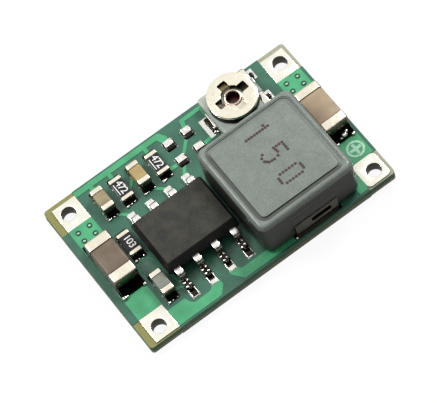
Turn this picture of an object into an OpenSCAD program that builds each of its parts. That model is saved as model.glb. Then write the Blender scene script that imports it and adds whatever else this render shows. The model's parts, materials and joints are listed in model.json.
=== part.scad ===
// Step-down (buck) converter module: a small two-layer board that carries a
// controller chip, a moulded power inductor, a one-turn trimmer and the chip
// capacitors and resistors round them. The board's long side runs along X,
// its underside rests on Z = 0 and the origin is under the board's middle.

/* [Board] */
// Length of the board
board_l = 17; // [16:0.1:20]
// Width of the board
board_w = 11; // [10.6:0.1:14]
// Thickness of the finished board, over the masked copper on both sides
board_t = 0.8; // [0.6:0.1:1.6]
// Radius of the board's corners
board_r = 0.2; // [0.05:0.05:0.5]
// Thickness of each copper layer
copper_t = 0.03; // [0.02:0.005:0.05]
// Thickness of the solder mask over bare laminate
mask_t = 0.045; // [0.035:0.005:0.06]
// Thickness of copper and mask together
layer_t = 0.07; // [0.06:0.005:0.1]

/* [Corner terminals] */
// Distance between the plated holes along X
hole_dx = 15; // [14:0.05:15.4]
// Distance between the plated holes along Y
hole_dy = 9.1; // [8.5:0.05:9.4]
// Radius of a plated hole
hole_r = 0.45; // [0.35:0.05:0.5]
// Thickness of the plating inside a hole
barrel_t = 0.06; // [0.04:0.01:0.1]
// Length of a terminal's land along X
pad_l = 1.6; // [1.4:0.05:1.7]
// Width of a terminal's land along Y
pad_w = 1.76; // [1.4:0.05:1.8]
// Distance between the lands along X
pad_dx = 14.78; // [14:0.05:15]
// Distance between the lands along Y
pad_dy = 8.87; // [8:0.05:9]
// Offset of the whole copper pattern from the board's middle along X
pattern_x = 0.12; // [0:0.01:0.2]
// Offset of the whole copper pattern from the board's middle along Y
pattern_y = -0.09; // [-0.15:0.01:0]
// Radius of the corners of the output-positive land
round_pad_r = 0.3; // [0.1:0.05:0.4]

/* [Vias] */
// Radius of a via's plated bore
via_r = 0.13; // [0.1:0.01:0.2]
// Distance between the vias of a group along X
via_dx = 0.78; // [0.7:0.01:0.9]
// Distance between the vias of a group along Y
via_dy = 0.62; // [0.5:0.01:0.7]

/* [Controller chip] */
// Length of the moulded body
chip_l = 4.9; // [4.7:0.1:5.1]
// Width of the moulded body
chip_w = 3.9; // [3.7:0.1:4.1]
// Height of the body's top above the board
chip_h = 1.5; // [1.3:0.05:1.75]
// Gap under the body
chip_gap = 0.1; // [0.05:0.05:0.2]
// Lean of the body's end walls, from the parting line to the top face
chip_draft_x = 0.21; // [0.05:0.01:0.3]
// Lean of the body's lead-side walls, from the parting line to the top face
chip_draft_y = 0.28; // [0.05:0.01:0.3]
// Distance from lead to lead
lead_pitch = 1.27; // [1.2:0.01:1.3]
// Span over the tips of the leads
lead_span = 6; // [5.8:0.05:6.2]
// Width of a lead
lead_w = 0.42; // [0.35:0.01:0.5]
// Thickness of a lead
lead_t = 0.2; // [0.15:0.01:0.25]
// Length of a lead's flat foot
foot_l = 0.55; // [0.4:0.05:0.8]

/* [Inductor] */
// Side of the square moulded body
coil_s = 6.5; // [6.2:0.05:6.8]
// Height of the body's top above the board
coil_h = 3; // [2.4:0.1:3.2]
// Radius of the body's upright corners
coil_r = 0.5; // [0.4:0.05:0.8]
// Radius of the body's top edge
coil_edge_r = 0.28; // [0.1:0.02:0.35]
// Chamfer of the body's bottom edge
coil_foot_c = 0.3; // [0.1:0.05:0.4]
// Side of the square groove in the top, along its middle line
groove_s = 5.55; // [5:0.05:5.8]
// Width of the groove
groove_w = 0.26; // [0.1:0.02:0.3]
// Depth of the groove
groove_d = 0.1; // [0.05:0.01:0.15]
// Width of a terminal strap
strap_w = 2.9; // [2.4:0.1:3.2]
// Thickness of a terminal strap
strap_t = 0.14; // [0.1:0.01:0.2]
// Height at which a strap leaves the body
strap_h = 1.3; // [1:0.05:1.6]
// Length of a strap's fold under the body
strap_fold = 1.2; // [0.8:0.1:1.6]

/* [Trimmer] */
// Length of the ceramic base along X
trim_l = 3.3; // [3.1:0.05:3.4]
// Width of the ceramic base along Y
trim_w = 2.8; // [2.6:0.05:3]
// Height of the base's top above the board
trim_h = 0.75; // [0.6:0.05:0.9]
// Radius of the rotor
rotor_r = 1.5; // [1.3:0.02:1.55]
// Distance from the rotor's axis to its flat side
rotor_flat = 1.38; // [1.2:0.02:1.45]
// Height of the rotor's top above the board
rotor_h = 1.4; // [1.3:0.02:1.6]
// Thickness of the rotor's rim
rotor_rim_t = 0.2; // [0.1:0.02:0.25]
// Radius of the rotor's hub under the rim
rotor_hub_r = 1.18; // [1.1:0.02:1.3]
// Width of the cross slot's arms
slot_w = 0.58; // [0.4:0.02:0.65]
// Reach of the cross slot's arms from the axis
slot_reach = 1.07; // [0.9:0.02:1.12]
// Radius of the rotor's middle recess
recess_r = 0.66; // [0.6:0.01:0.72]
// Running gap between the rotor and the pieces round it
run_gap = 0.03; // [0.02:0.005:0.05]

/* [Chip parts] */
// Length of a large capacitor
big_l = 3.2; // [3:0.05:3.3]
// Width of a large capacitor
big_w = 1.6; // [1.5:0.05:1.7]
// Height of a large capacitor
big_h = 1.25; // [1:0.05:1.6]
// Length of an end cap of the input capacitor
input_cap = 0.66; // [0.4:0.02:0.7]
// Length of an end cap of the output capacitor
output_cap = 0.58; // [0.4:0.02:0.7]
// Length of a small capacitor or resistor
small_l = 1.6; // [1.5:0.05:1.7]
// Width of a small capacitor or resistor
small_w = 0.8; // [0.7:0.05:0.9]
// Height of a small capacitor
small_h = 0.8; // [0.6:0.05:0.9]
// Height of a resistor
resistor_h = 0.45; // [0.4:0.05:0.55]
// Length of an end cap of a small part
small_cap = 0.34; // [0.25:0.01:0.4]
// Radius of the edges of a large capacitor
big_soft_r = 0.14; // [0.05:0.01:0.2]
// Radius of the edges of the small capacitors
small_soft_r = 0.1; // [0.03:0.01:0.12]
// Radius of the edges of a resistor's end caps
soft_r = 0.07; // [0.03:0.01:0.1]

/* [Hidden] */

$fn = 48;
eps = 0.01;

// Heights of the layers, from the underside up
laminate_z0 = layer_t;
laminate_z1 = board_t - layer_t;
land_z = laminate_z1 + copper_t;
top_z = board_t;

// Middle of each part, and its middle point on the copper pattern
chip_x = -2.75;
chip_y = -0.92;
coil_x = 3.15;
coil_y = -1.9;
strap_x = 3.3;
trim_x = 4;
trim_y = 3.8;
// Rows of the chip parts: place, and height of each
input_at = [-7.21, 0.05];
output_at = [7.48, 0.02];
row_pitch = 1.26;
row_x = -5.43;
row_y = 3.63;
feedforward_at = [row_x, row_y];
upper_at = [row_x + row_pitch, row_y];
compensation_at = [row_x + 2 * row_pitch, row_y];
lower_at = [row_x + 3 * row_pitch, row_y];
enable_at = [-5.77, 0.5];
bootstrap_at = [-5.77, -2.83];
spare_x = [row_x + 4 * row_pitch, row_x + 5 * row_pitch];
spare_y = [4.27, 2.97];
spare_pad = 0.72;

// Lands of the chip parts: half the distance between them, size along Y
small_land = 0.72;
small_land_l = 0.72;
small_land_w = 0.84;
big_land = 1.6;
big_land_l = 1;
big_land_w = 1.56;

via_groups = [[-7.26, 2.75], [7.5, 2.77]];

chip_lead_x = [for (i = [0:3]) chip_x + (i - 1.5) * lead_pitch];
chip_mid = chip_gap + (chip_h - chip_gap) / 2;
north_land_y = [1.02, 2.16];
south_land_y = [-4.55, -3.25];
chip_land_w = 0.5;

// ---------------------------------------------------------------- helpers

// Rectangle from its lowest to its highest corner
module span(x0, x1, y0, y1) {
    translate([x0, y0]) square([x1 - x0, y1 - y0]);
}

// Straight track of width w from a to b, with round ends
module track(a, b, w = 0.2) {
    d = b - a;
    len = norm(d);
    translate(a) circle(w / 2);
    translate(b) circle(w / 2);
    translate(a) rotate(atan2(d[1], d[0])) translate([0, -w / 2])
        square([len, w]);
}

// Rectangle of size l by w round the origin, with corners of radius r
module round_rect(l, w, r) {
    square([l - 2 * r, w], center = true);
    square([l, w - 2 * r], center = true);
    for (sx = [-1, 1], sy = [-1, 1])
        translate([sx * (l / 2 - r), sy * (w / 2 - r)]) circle(r);
}

// Box l by w by h standing on Z = 0 with all its edges rounded
module soft_box(l, w, h, r) {
    intersection() {
        linear_extrude(h) round_rect(l, w, r);
        translate([0, w / 2, h / 2]) rotate([90, 0, 0])
            linear_extrude(w) round_rect(l, h, r);
        translate([-l / 2, 0, h / 2]) rotate([90, 0, 90])
            linear_extrude(l) round_rect(w, h, r);
    }
}

// Block whose sides lean in from z0 to z1, by lean_x and by lean_y
module leaning_block(l, w, z0, z1, lean_x, lean_y) {
    h = z1 - z0;
    translate([0, w / 2, z0]) intersection() {
        rotate([90, 0, 0]) linear_extrude(w)
            polygon([[-l / 2, 0], [l / 2, 0],
                     [l / 2 - lean_x, h], [-l / 2 + lean_x, h]]);
        translate([-l / 2, -w / 2, 0]) rotate([90, 0, 90]) linear_extrude(l)
            polygon([[-w / 2, 0], [w / 2, 0],
                     [w / 2 - lean_y, h], [-w / 2 + lean_y, h]]);
    }
}

// Points of an arc round c, from angle a0 to a1
function arc(c, r, a0, a1, n = 6) =
    [for (i = [0:n]) let (a = a0 + (a1 - a0) * i / n)
        c + r * [cos(a), sin(a)]];

// Hollow solder fillet that leans on a wall along Y = 0: reach out along
// -Y, height up the wall, width along X
module fillet(reach, height, width) {
    curve = [for (i = [0:6]) let (a = 90 * i / 6)
        [-reach * (1 - sin(a)), height * (1 - cos(a))]];
    translate([-width / 2, 0, 0]) rotate([90, 0, 90]) linear_extrude(width)
        polygon(concat([[0, 0], [-reach, 0]],
                       [for (i = [1:6]) curve[i]]));
}

// ------------------------------------------------------- copper patterns

module at_terminals(which = [0, 1, 2, 3]) {
    corners = [[-1, 1], [-1, -1], [1, 1], [1, -1]];
    for (i = which)
        translate([pattern_x, pattern_y])
            translate([corners[i][0] * pad_dx / 2, corners[i][1] * pad_dy / 2])
                children();
}

// Outline of one terminal's land
module terminal_land(i) {
    at_terminals([i])
        if (i == 3) round_rect(pad_l, pad_w, round_pad_r);
        else square([pad_l, pad_w], center = true);
}

module terminal_hole(i, r) {
    sx = i < 2 ? -1 : 1;
    sy = i % 2 == 0 ? 1 : -1;
    translate([pattern_x + sx * hole_dx / 2, pattern_y + sy * hole_dy / 2])
        circle(r);
}

// Window in the mask round a terminal, open to the board's corner
module terminal_window(i) {
    sx = i < 2 ? -1 : 1;
    sy = i % 2 == 0 ? 1 : -1;
    x_in = pattern_x + sx * (pad_dx - pad_l) / 2;
    y_in = pattern_y + sy * (pad_dy - pad_w) / 2;
    x_out = sx * (board_l / 2 + 1);
    y_out = sy * (board_w / 2 + 1);
    span(min(x_in, x_out), max(x_in, x_out),
         min(y_in, y_out), max(y_in, y_out));
}

module via_places() {
    for (g = via_groups, sx = [-0.5, 0.5], sy = [-0.5, 0.5])
        translate([g[0] + sx * via_dx, g[1] + sy * via_dy]) children();
}

module small_lands(at) {
    for (s = [-1, 1]) translate([at[0], at[1] + s * small_land])
        square([small_land_w, small_land_l], center = true);
}

module big_lands(at) {
    for (s = [-1, 1]) translate([at[0], at[1] + s * big_land])
        square([big_land_w, big_land_l], center = true);
}

module chip_lands() {
    for (x = chip_lead_x) {
        span(x - chip_land_w / 2, x + chip_land_w / 2,
             north_land_y[0], north_land_y[1]);
        span(x - chip_land_w / 2, x + chip_land_w / 2,
             south_land_y[0], south_land_y[1]);
    }
}

module spare_lands() {
    for (x = spare_x, y = spare_y) translate([x, y])
        square([spare_pad, spare_pad], center = true);
}

module coil_lands() {
    span(strap_x - 1.65, strap_x + 1.6, -5.38, -3.85);
    span(strap_x - 1.65, strap_x + 1.6, 0.15, 1.66);
}

module trimmer_lands() {
    span(1.74, 2.6, 3.05, 4.4);
    span(5.5, 6.1, 4.55, 5.3);
    span(5.5, 6.1, 2.75, 3.5);
}

// Lands that the mask leaves open
module open_lands() {
    for (at = [feedforward_at, upper_at, compensation_at, lower_at,
               enable_at, bootstrap_at]) small_lands(at);
    big_lands(input_at);
    big_lands(output_at);
    chip_lands();
    spare_lands();
    coil_lands();
    trimmer_lands();
}

// Wide copper of the power paths
module pours() {
    edge_y = -5.38;
    // Ground beside the inputs and the outputs, and along the top edge
    span(-8.07, -6.47, 1.5, 3.49);
    span(6.71, 8.31, 1.5, 3.49);
    span(-6.47, -0.75, 5.02, 5.38);
    polygon([[-0.8, 5.38], [-0.8, 5.02], [-0.55, 4.5], [-0.2, 4.5],
             [-0.2, 4.9], [-0.5, 5.38]]);
    // Input feed, round to the second lead
    span(-8.07, -6.47, -3.65, -1.5);
    polygon([[-6.47, -4.2], [-5.3, -4.2], [-5.12, -4.6], [-4.95, -4.75],
             [-3.9, -4.75], [-3.55, -4.5], [-3.08, -4.5], [-3.08, -4.9],
             [-3.55, edge_y], [-6.47, edge_y]]);
    // Switching copper, from the third lead to the inductor
    polygon([[-2.42, -4.5], [-1.9, -4.5], [-1.66, -4.75], [1.65, -4.75],
             [1.65, edge_y], [-1.9, edge_y], [-2.42, -4.7]]);
    // Output feed, round under the inductor to the positive terminal
    span(4.2, 6.2, -3.6, 1.4);
    span(6.1, 8.31, -3.65, -1.5);
    span(6.1, 6.71, edge_y, -3.6);
}

module tracks() {
    tie_y = 5.1;
    for (at = [feedforward_at, upper_at, lower_at])
        track([at[0], at[1] + small_land], [at[0], tie_y], 0.26);
    track([-5.3, 2.7], [-4.7, 2.1]);
    track([-3.75, 3.45], [-3.2, 4]);
    track([-2.75, 2.65], [-2.1, 2.05]);
    track([-1.5, 2.95], [-0.5, 2.95], 0.24);
    track([-0.45, 2.7], [-0.85, 2.1]);
    track([-0.1, 3.25], [0.7, 4.1]);
    track([0.85, 4.3], [1.05, 5.12], 0.26);
    track([1.05, 5.12], [2.4, 5.12], 0.26);
    track([2.4, 5.12], [2.4, 4.2], 0.26);
    track([0.9, 3], [2, 3.15], 0.24);
    track([-5.77, -0.3], [-5.77, -1.15], 0.26);
    track([-5.3, -3.4], [-4.6, -3.6]);
    translate([-5.78, -1.15]) circle(0.5);
}

module bottom_pour() {
    gap = 0.3;
    difference() {
        square([board_l - 0.5, board_w - 0.5], center = true);
        for (i = [1, 3]) at_terminals([i])
            square([pad_l + 2 * gap, pad_w + 2 * gap], center = true);
    }
}

module board_outline() {
    round_rect(board_l, board_w, board_r);
}

// --------------------------------------------------------- bare board

module woven_laminate() {
    color("darkkhaki") translate([0, 0, laminate_z0])
        linear_extrude(laminate_z1 - laminate_z0) difference() {
            board_outline();
            for (i = [0:3]) terminal_hole(i, hole_r + barrel_t);
            via_places() circle(via_r + barrel_t);
        }
}

module top_copper() {
    color("chocolate") translate([0, 0, laminate_z1])
        linear_extrude(copper_t) difference() {
            union() {
                pours();
                tracks();
                open_lands();
            }
            for (i = [0:3]) terminal_land(i);
            via_places() circle(via_r + barrel_t);
        }
}

module bottom_copper() {
    color("chocolate") translate([0, 0, laminate_z0 - copper_t])
        linear_extrude(copper_t) difference() {
            bottom_pour();
            for (i = [0:3]) terminal_land(i);
            via_places() circle(via_r + barrel_t);
        }
}

// The mask is thin over the laminate and stands over the copper. It closes
// the top of each via and sags a little over it.
module top_solder_mask() {
    dimple_r = 0.3;
    dimple_d = 0.025;
    color("seagreen") difference() {
        translate([0, 0, laminate_z1]) difference() {
            union() {
                linear_extrude(mask_t) board_outline();
                linear_extrude(layer_t) {
                    pours();
                    tracks();
                }
            }
            translate([0, 0, -eps]) {
                linear_extrude(copper_t + eps) difference() {
                    union() {
                        pours();
                        tracks();
                    }
                    via_places() circle(via_r + barrel_t);
                }
                linear_extrude(layer_t + 2 * eps) {
                    open_lands();
                    for (i = [0:3]) terminal_window(i);
                }
            }
        }
        via_places() translate([0, 0, laminate_z1 - eps])
            cylinder(h = copper_t + eps, r = via_r + barrel_t);
        via_places() translate([0, 0, top_z + dimple_r - dimple_d])
            sphere(dimple_r);
    }
}

module bottom_solder_mask() {
    color("seagreen") difference() {
        linear_extrude(laminate_z0) difference() {
            board_outline();
            for (i = [0:3]) terminal_window(i);
        }
        translate([0, 0, laminate_z0 - copper_t]) linear_extrude(layer_t)
            bottom_pour();
        translate([0, 0, laminate_z0 - copper_t])
            linear_extrude(layer_t) via_places() circle(via_r + barrel_t);
    }
}

// Printed ring with a plus in it, beside the positive output
module polarity_mark() {
    ring_r = 0.55;
    line_w = 0.14;
    arm_w = 0.19;
    arm_l = 0.74;
    color("honeydew") translate([7.63, -2.9, top_z])
        linear_extrude(0.02) {
            difference() {
                circle(ring_r);
                circle(ring_r - line_w);
            }
            square([arm_l, arm_w], center = true);
            square([arm_w, arm_l], center = true);
        }
}

module vias() {
    color("peru") via_places()
        translate([0, 0, laminate_z0 - copper_t])
            difference() {
                cylinder(h = laminate_z1 - laminate_z0 + 2 * copper_t,
                         r = via_r + barrel_t);
                translate([0, 0, -eps]) cylinder(h = board_t, r = via_r);
            }
}

// Plated-through corner terminal: two lands and the barrel between them
module terminal(i) {
    color("ivory") difference() {
        union() {
            linear_extrude(layer_t) terminal_land(i);
            translate([0, 0, laminate_z1]) linear_extrude(layer_t)
                terminal_land(i);
            linear_extrude(board_t) intersection() {
                terminal_hole(i, hole_r + barrel_t);
                terminal_land(i);
            }
        }
        translate([0, 0, -1]) linear_extrude(board_t + 2)
            terminal_hole(i, hole_r);
    }
}

module terminal_in_negative() { terminal(0); }
module terminal_in_positive() { terminal(1); }
module terminal_out_negative() { terminal(2); }
module terminal_out_positive() { terminal(3); }

// --------------------------------------------------------- controller

stub_l = 0.25;

// Side view of a lead along Y from the body's edge (0) to its tip, with
// the stub that the body holds; Z = 0 is the underside of the foot
module lead_profile() {
    reach = (lead_span - chip_w) / 2;
    top = chip_mid + lead_t / 2;
    r_in = 0.1;
    r_out = r_in + lead_t;
    x_bend = reach - foot_l - 0.02;
    polygon(concat(
        [[-stub_l, top], [x_bend - r_out + r_in, top]],
        arc([x_bend - r_out + r_in, top - r_out], r_out, 90, 0),
        [[x_bend + r_in, lead_t + r_in]],
        arc([x_bend + 2 * r_in, lead_t + r_in], r_in, 180, 270),
        [[reach, lead_t], [reach, 0]],
        [[x_bend + 2 * r_in, 0]],
        arc([x_bend + 2 * r_in, r_out], r_out, 270, 180),
        arc([x_bend - r_out + r_in, top - r_out], r_in, 0, 90),
        [[-stub_l, top - lead_t]]));
}

module at_leads() {
    for (x = chip_lead_x) {
        translate([x, chip_y + chip_w / 2, top_z]) children();
        translate([x, chip_y - chip_w / 2, top_z]) rotate(180) children();
    }
}

module controller_leads() {
    color("silver") at_leads() translate([-lead_w / 2, 0, 0])
        rotate([90, 0, 90]) linear_extrude(lead_w) lead_profile();
}

module controller_body() {
    color("dimgray") difference() {
        translate([chip_x, chip_y, top_z]) {
            leaning_block(chip_l, chip_w, chip_mid, chip_h,
                chip_draft_x, chip_draft_y);
            mirror([0, 0, 1]) leaning_block(chip_l, chip_w, -chip_mid,
                -chip_gap, chip_draft_x, chip_draft_y);
        }
        at_leads() translate([-lead_w / 2, -stub_l, chip_mid - lead_t / 2])
            cube([lead_w, stub_l + 1, lead_t]);
    }
}

// Solder under each foot and in front of each toe
module controller_solder() {
    film = top_z - land_z;
    w = chip_land_w;
    color("whitesmoke") for (x = chip_lead_x) {
        translate([x - w / 2, north_land_y[0], land_z])
            cube([w, north_land_y[1] - north_land_y[0], film]);
        translate([x - w / 2, south_land_y[0], land_z])
            cube([w, south_land_y[1] - south_land_y[0], film]);
        translate([x, chip_y + lead_span / 2, top_z]) rotate(180)
            fillet(north_land_y[1] - chip_y - lead_span / 2, lead_t, lead_w);
        translate([x, chip_y - lead_span / 2, top_z])
            fillet(chip_y - lead_span / 2 - south_land_y[0], lead_t, w);
    }
}

// ----------------------------------------------------------- inductor

// Section of the body's edge, outwards from a line coil_r inside the wall:
// chamfered foot, straight wall and rounded top edge
module coil_section() {
    polygon(concat(
        [[0, 0], [coil_r - coil_foot_c, 0], [coil_r, coil_foot_c]],
        arc([coil_r - coil_edge_r, coil_h - coil_edge_r], coil_edge_r,
            0, 90, 8),
        [[0, coil_h]]));
}

// Square block made of a core, four straight walls and four round corners
module coil_block() {
    straight = coil_s - 2 * coil_r;
    translate([-straight / 2, -straight / 2, 0])
        cube([straight, straight, coil_h]);
    for (turn = [0:90:270]) rotate(turn)
        translate([straight / 2, straight / 2, 0]) {
            rotate([90, 0, 0]) linear_extrude(straight) coil_section();
            rotate_extrude(angle = 90) coil_section();
        }
}

// Side view of a strap: down the wall (Y = 0), round the foot and back
// under the body
module strap_profile() {
    bend_r = strap_t + 0.12;
    out = strap_t;
    polygon(concat(
        [[0.35, strap_h - strap_t], [0.35, strap_h]],
        arc([bend_r - out, strap_h - bend_r], bend_r, 90, 180),
        arc([bend_r - out, bend_r], bend_r, 180, 270),
        [[strap_fold, 0], [strap_fold, strap_t]],
        arc([bend_r - out, bend_r], bend_r - strap_t, 270, 180),
        arc([bend_r - out, strap_h - bend_r], bend_r - strap_t, 180, 90)));
}

// The strap has a window below its upper bend, where the coil's wire shows
module strap() {
    window_l = 1.25;
    window_x = 0.3;
    color("silver") difference() {
        translate([-strap_w / 2, 0, 0]) rotate([90, 0, 90])
            linear_extrude(strap_w) strap_profile();
        translate([window_x - window_l / 2, -1, 0.55])
            cube([window_l, 1.1, 0.4]);
    }
}

module at_south_wall() {
    translate([strap_x, coil_y - coil_s / 2, top_z]) children();
}

module at_north_wall() {
    translate([strap_x, coil_y + coil_s / 2, top_z]) rotate(180) children();
}

// Flared rib of the body round the place where a strap leaves it
module strap_rib() {
    rib_t = 0.06;
    translate([0, 0.3, 0]) rotate([90, 0, 0]) linear_extrude(0.3 + rib_t)
        polygon([[-strap_w / 2 - 0.02, strap_h - 0.2],
                 [strap_w / 2 + 0.02, strap_h - 0.2],
                 [strap_w / 2 + 0.2, 2.15], [-strap_w / 2 - 0.2, 2.15]]);
}

module inductor_body() {
    groove_r = 0.42;
    color("lightslategray") difference() {
        union() {
            translate([coil_x, coil_y, top_z]) coil_block();
            at_south_wall() strap_rib();
            at_north_wall() strap_rib();
        }
        translate([coil_x, coil_y, top_z + coil_h - groove_d])
            linear_extrude(1) difference() {
                round_rect(groove_s + groove_w, groove_s + groove_w,
                           groove_r + groove_w / 2);
                round_rect(groove_s - groove_w, groove_s - groove_w,
                           groove_r - groove_w / 2);
            }
        at_south_wall() strap_room();
        at_north_wall() strap_room();
    }
}

// Room in the body for a strap
module strap_room() {
    translate([-strap_w / 2, 0, 0]) rotate([90, 0, 90])
        linear_extrude(strap_w)
            polygon([[-1, -eps], [strap_fold, -eps], [strap_fold, strap_t],
                     [0.12, strap_t], [0, 0.26], [0, strap_h - 0.26],
                     [0.12, strap_h - strap_t], [0.35, strap_h - strap_t],
                     [0.35, strap_h], [-1, strap_h]]);
}

module inductor_switch_strap() { at_south_wall() strap(); }
module inductor_output_strap() { at_north_wall() strap(); }

module inductor_solder() {
    film = top_z - land_z;
    land_l = 3.25;
    color("whitesmoke") {
        translate([strap_x - 1.65, -5.38, land_z]) cube([land_l, 1.53, film]);
        translate([strap_x - 1.65, 0.15, land_z]) cube([land_l, 1.51, film]);
    }
}

// -------------------------------------------------------- chip parts

// Body of a capacitor between its end caps, lying along Y
module capacitor_body(at, l, w, h, cap, r) {
    skin = 0.02;
    translate([at[0], at[1], top_z + skin]) intersection() {
        soft_box(w - 2 * skin, l, h - 2 * skin, r - skin);
        translate([0, 0, h / 2])
            cube([w, l - 2 * cap, h + 1], center = true);
    }
}

// Two end caps, one solid each
module capacitor_ends(at, l, w, h, cap, r) {
    color("ivory") translate([at[0], at[1], top_z]) difference() {
        soft_box(w, l, h, r);
        translate([0, 0, h / 2])
            cube([w + 1, l - 2 * cap, h + 1], center = true);
    }
}

module big_ends(at, cap) {
    capacitor_ends(at, big_l, big_w, big_h, cap, big_soft_r);
}

module big_body(at, cap) {
    capacitor_body(at, big_l, big_w, big_h, cap, big_soft_r);
}

module small_ends(at) {
    capacitor_ends(at, small_l, small_w, small_h, small_cap, small_soft_r);
}

module small_body(at) {
    capacitor_body(at, small_l, small_w, small_h, small_cap, small_soft_r);
}

module input_capacitor_body() {
    color("rosybrown") big_body(input_at, input_cap);
}
module input_capacitor_ends() { big_ends(input_at, input_cap); }
module output_capacitor_body() {
    color("burlywood") big_body(output_at, output_cap);
}
module output_capacitor_ends() { big_ends(output_at, output_cap); }

module feedforward_capacitor_body() {
    color("tan") small_body(feedforward_at);
}
module feedforward_capacitor_ends() { small_ends(feedforward_at); }

module compensation_capacitor_body() {
    color("burlywood") small_body(compensation_at);
}
module compensation_capacitor_ends() { small_ends(compensation_at); }

module bootstrap_capacitor_body() {
    color("darkgray") small_body(bootstrap_at);
}
module bootstrap_capacitor_ends() { small_ends(bootstrap_at); }

// A resistor is a ceramic slip with a glazed film on top, and an end cap
// that wraps over, round and under each end
cap_wrap = 0.28;
cap_skin = 0.03;
coat_t = 0.04;

module resistor_substrate(at) {
    color("white") translate([at[0], at[1], top_z + resistor_h / 2])
        cube([small_w - 2 * cap_skin, small_l - 2 * cap_skin,
              resistor_h - 2 * cap_skin - coat_t + cap_skin], center = true);
}

module resistor_coat(at) {
    z = resistor_h / 2 + (resistor_h - cap_skin - coat_t) / 2;
    color("black") translate([at[0], at[1], top_z + z + coat_t / 2])
        cube([small_w - 2 * cap_skin, small_l - 2 * cap_wrap, coat_t],
             center = true);
}

module resistor_ends(at) {
    color("whitesmoke") translate([at[0], at[1], top_z]) difference() {
        soft_box(small_w, small_l, resistor_h, soft_r);
        translate([0, 0, resistor_h / 2])
            cube([small_w + 1, small_l - 2 * cap_wrap, resistor_h + 1],
                 center = true);
        translate([0, 0, resistor_h / 2])
            cube([small_w - 2 * cap_skin, small_l - 2 * cap_skin,
                  resistor_h - cap_skin - coat_t], center = true);
    }
}

module upper_resistor_substrate() { resistor_substrate(upper_at); }
module upper_resistor_coat() { resistor_coat(upper_at); }
module upper_resistor_ends() { resistor_ends(upper_at); }
module lower_resistor_substrate() { resistor_substrate(lower_at); }
module lower_resistor_coat() { resistor_coat(lower_at); }
module lower_resistor_ends() { resistor_ends(lower_at); }
module enable_resistor_substrate() { resistor_substrate(enable_at); }
module enable_resistor_coat() { resistor_coat(enable_at); }
module enable_resistor_ends() { resistor_ends(enable_at); }

// Solder film on both lands of a part and a fillet at both its ends
module part_solder(at, l, w, land, land_l, land_w, rise) {
    film = top_z - land_z;
    out = land + land_l / 2;
    for (s = [0, 180]) translate([at[0], at[1], 0]) rotate(s) {
        translate([-land_w / 2, -out, land_z])
            cube([land_w, land_l, film]);
        translate([0, -l / 2, top_z]) fillet(out - l / 2, rise, w);
    }
}

module chip_part_solder() {
    color("whitesmoke") {
        for (at = [feedforward_at, compensation_at, bootstrap_at])
            part_solder(at, small_l, small_w - 0.14, small_land, small_land_l,
                        small_land_w, 0.4);
        for (at = [upper_at, lower_at, enable_at])
            part_solder(at, small_l, small_w - 0.14, small_land, small_land_l,
                        small_land_w, 0.3);
        for (at = [input_at, output_at])
            part_solder(at, big_l, big_w - 0.14, big_land, big_land_l,
                        big_land_w, 0.6);
    }
}

// Low domes of solder on the lands that carry no part
module spare_pad_solder() {
    rise = 0.22;
    half = spare_pad / 2;
    dome_r = (half * half + rise * rise) / (2 * rise);
    color("whitesmoke") for (x = spare_x, y = spare_y)
        translate([x, y, land_z]) intersection() {
            translate([0, 0, rise - dome_r]) sphere(dome_r);
            translate([0, 0, 1]) cube([spare_pad, spare_pad, 2],
                                      center = true);
        }
}

// ----------------------------------------------------------- trimmer

rivet_bore = 0.4;
rivet_r = 0.47;
rivet_flange = 0.55;
slot_turn = 5;
hub_z = trim_h + 0.05;
floor_z = trim_h + 0.32;
track_in = 0.78;
track_out = 1.22;
clip_t = 0.1;

module at_trimmer() {
    translate([trim_x, trim_y, top_z]) children();
}

module trimmer_base() {
    notch = 0.9;
    color("gainsboro") at_trimmer() difference() {
        translate([0, 0, clip_t]) linear_extrude(trim_h - clip_t)
            round_rect(trim_l, trim_w, 0.12);
        cylinder(h = 2, r = rivet_r);
        // Seats of the two end clips
        for (s = [-1, 1]) translate([trim_l / 2 - clip_t,
                s > 0 ? trim_w / 2 - notch : -trim_w / 2 - eps, 0])
            cube([1, notch + eps, 2]);
        for (s = [-1, 1]) translate([trim_l / 2 - 0.45,
                s > 0 ? trim_w / 2 - notch : -trim_w / 2 - eps,
                trim_h - clip_t])
            cube([1, notch + eps, 2]);
    }
}

// Printed resistive film: an arc open to the east
module trimmer_track() {
    open_a = 38;
    color("black") at_trimmer() translate([0, 0, trim_h])
        linear_extrude(0.02) difference() {
            circle(track_out);
            circle(track_in);
            polygon([[0, 0], 3 * [cos(open_a), sin(open_a)],
                     3 * [cos(open_a), -sin(open_a)]]);
        }
}

// Strip under the base with a turned-up tab at its west end
module trimmer_wiper_terminal() {
    tab_w = 1.1;
    tab_out = 0.25;
    color("silver") at_trimmer() difference() {
        union() {
            translate([-trim_l / 2 - tab_out, -tab_w / 2, 0])
                cube([trim_l / 2 + tab_out + 0.7, tab_w, clip_t]);
            translate([-trim_l / 2 - clip_t, -tab_w / 2, 0])
                cube([clip_t, tab_w, 0.4]);
        }
        translate([0, 0, -eps]) cylinder(h = 1, r = rivet_r);
    }
}

// Clips that wrap from under the base, up its east wall and over its top
module trimmer_end_terminals() {
    clip_w = 0.8;
    color("silver") at_trimmer() for (s = [-1, 1])
        translate([trim_l / 2, s * (trim_w / 2 - 0.05 - clip_w / 2), 0]) {
            translate([-0.5, -clip_w / 2, 0]) cube([0.65, clip_w, clip_t]);
            translate([-clip_t, -clip_w / 2, 0])
                cube([clip_t, clip_w, trim_h]);
            translate([-0.4, -clip_w / 2, trim_h - clip_t])
                cube([0.4, clip_w, clip_t]);
        }
}

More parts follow.
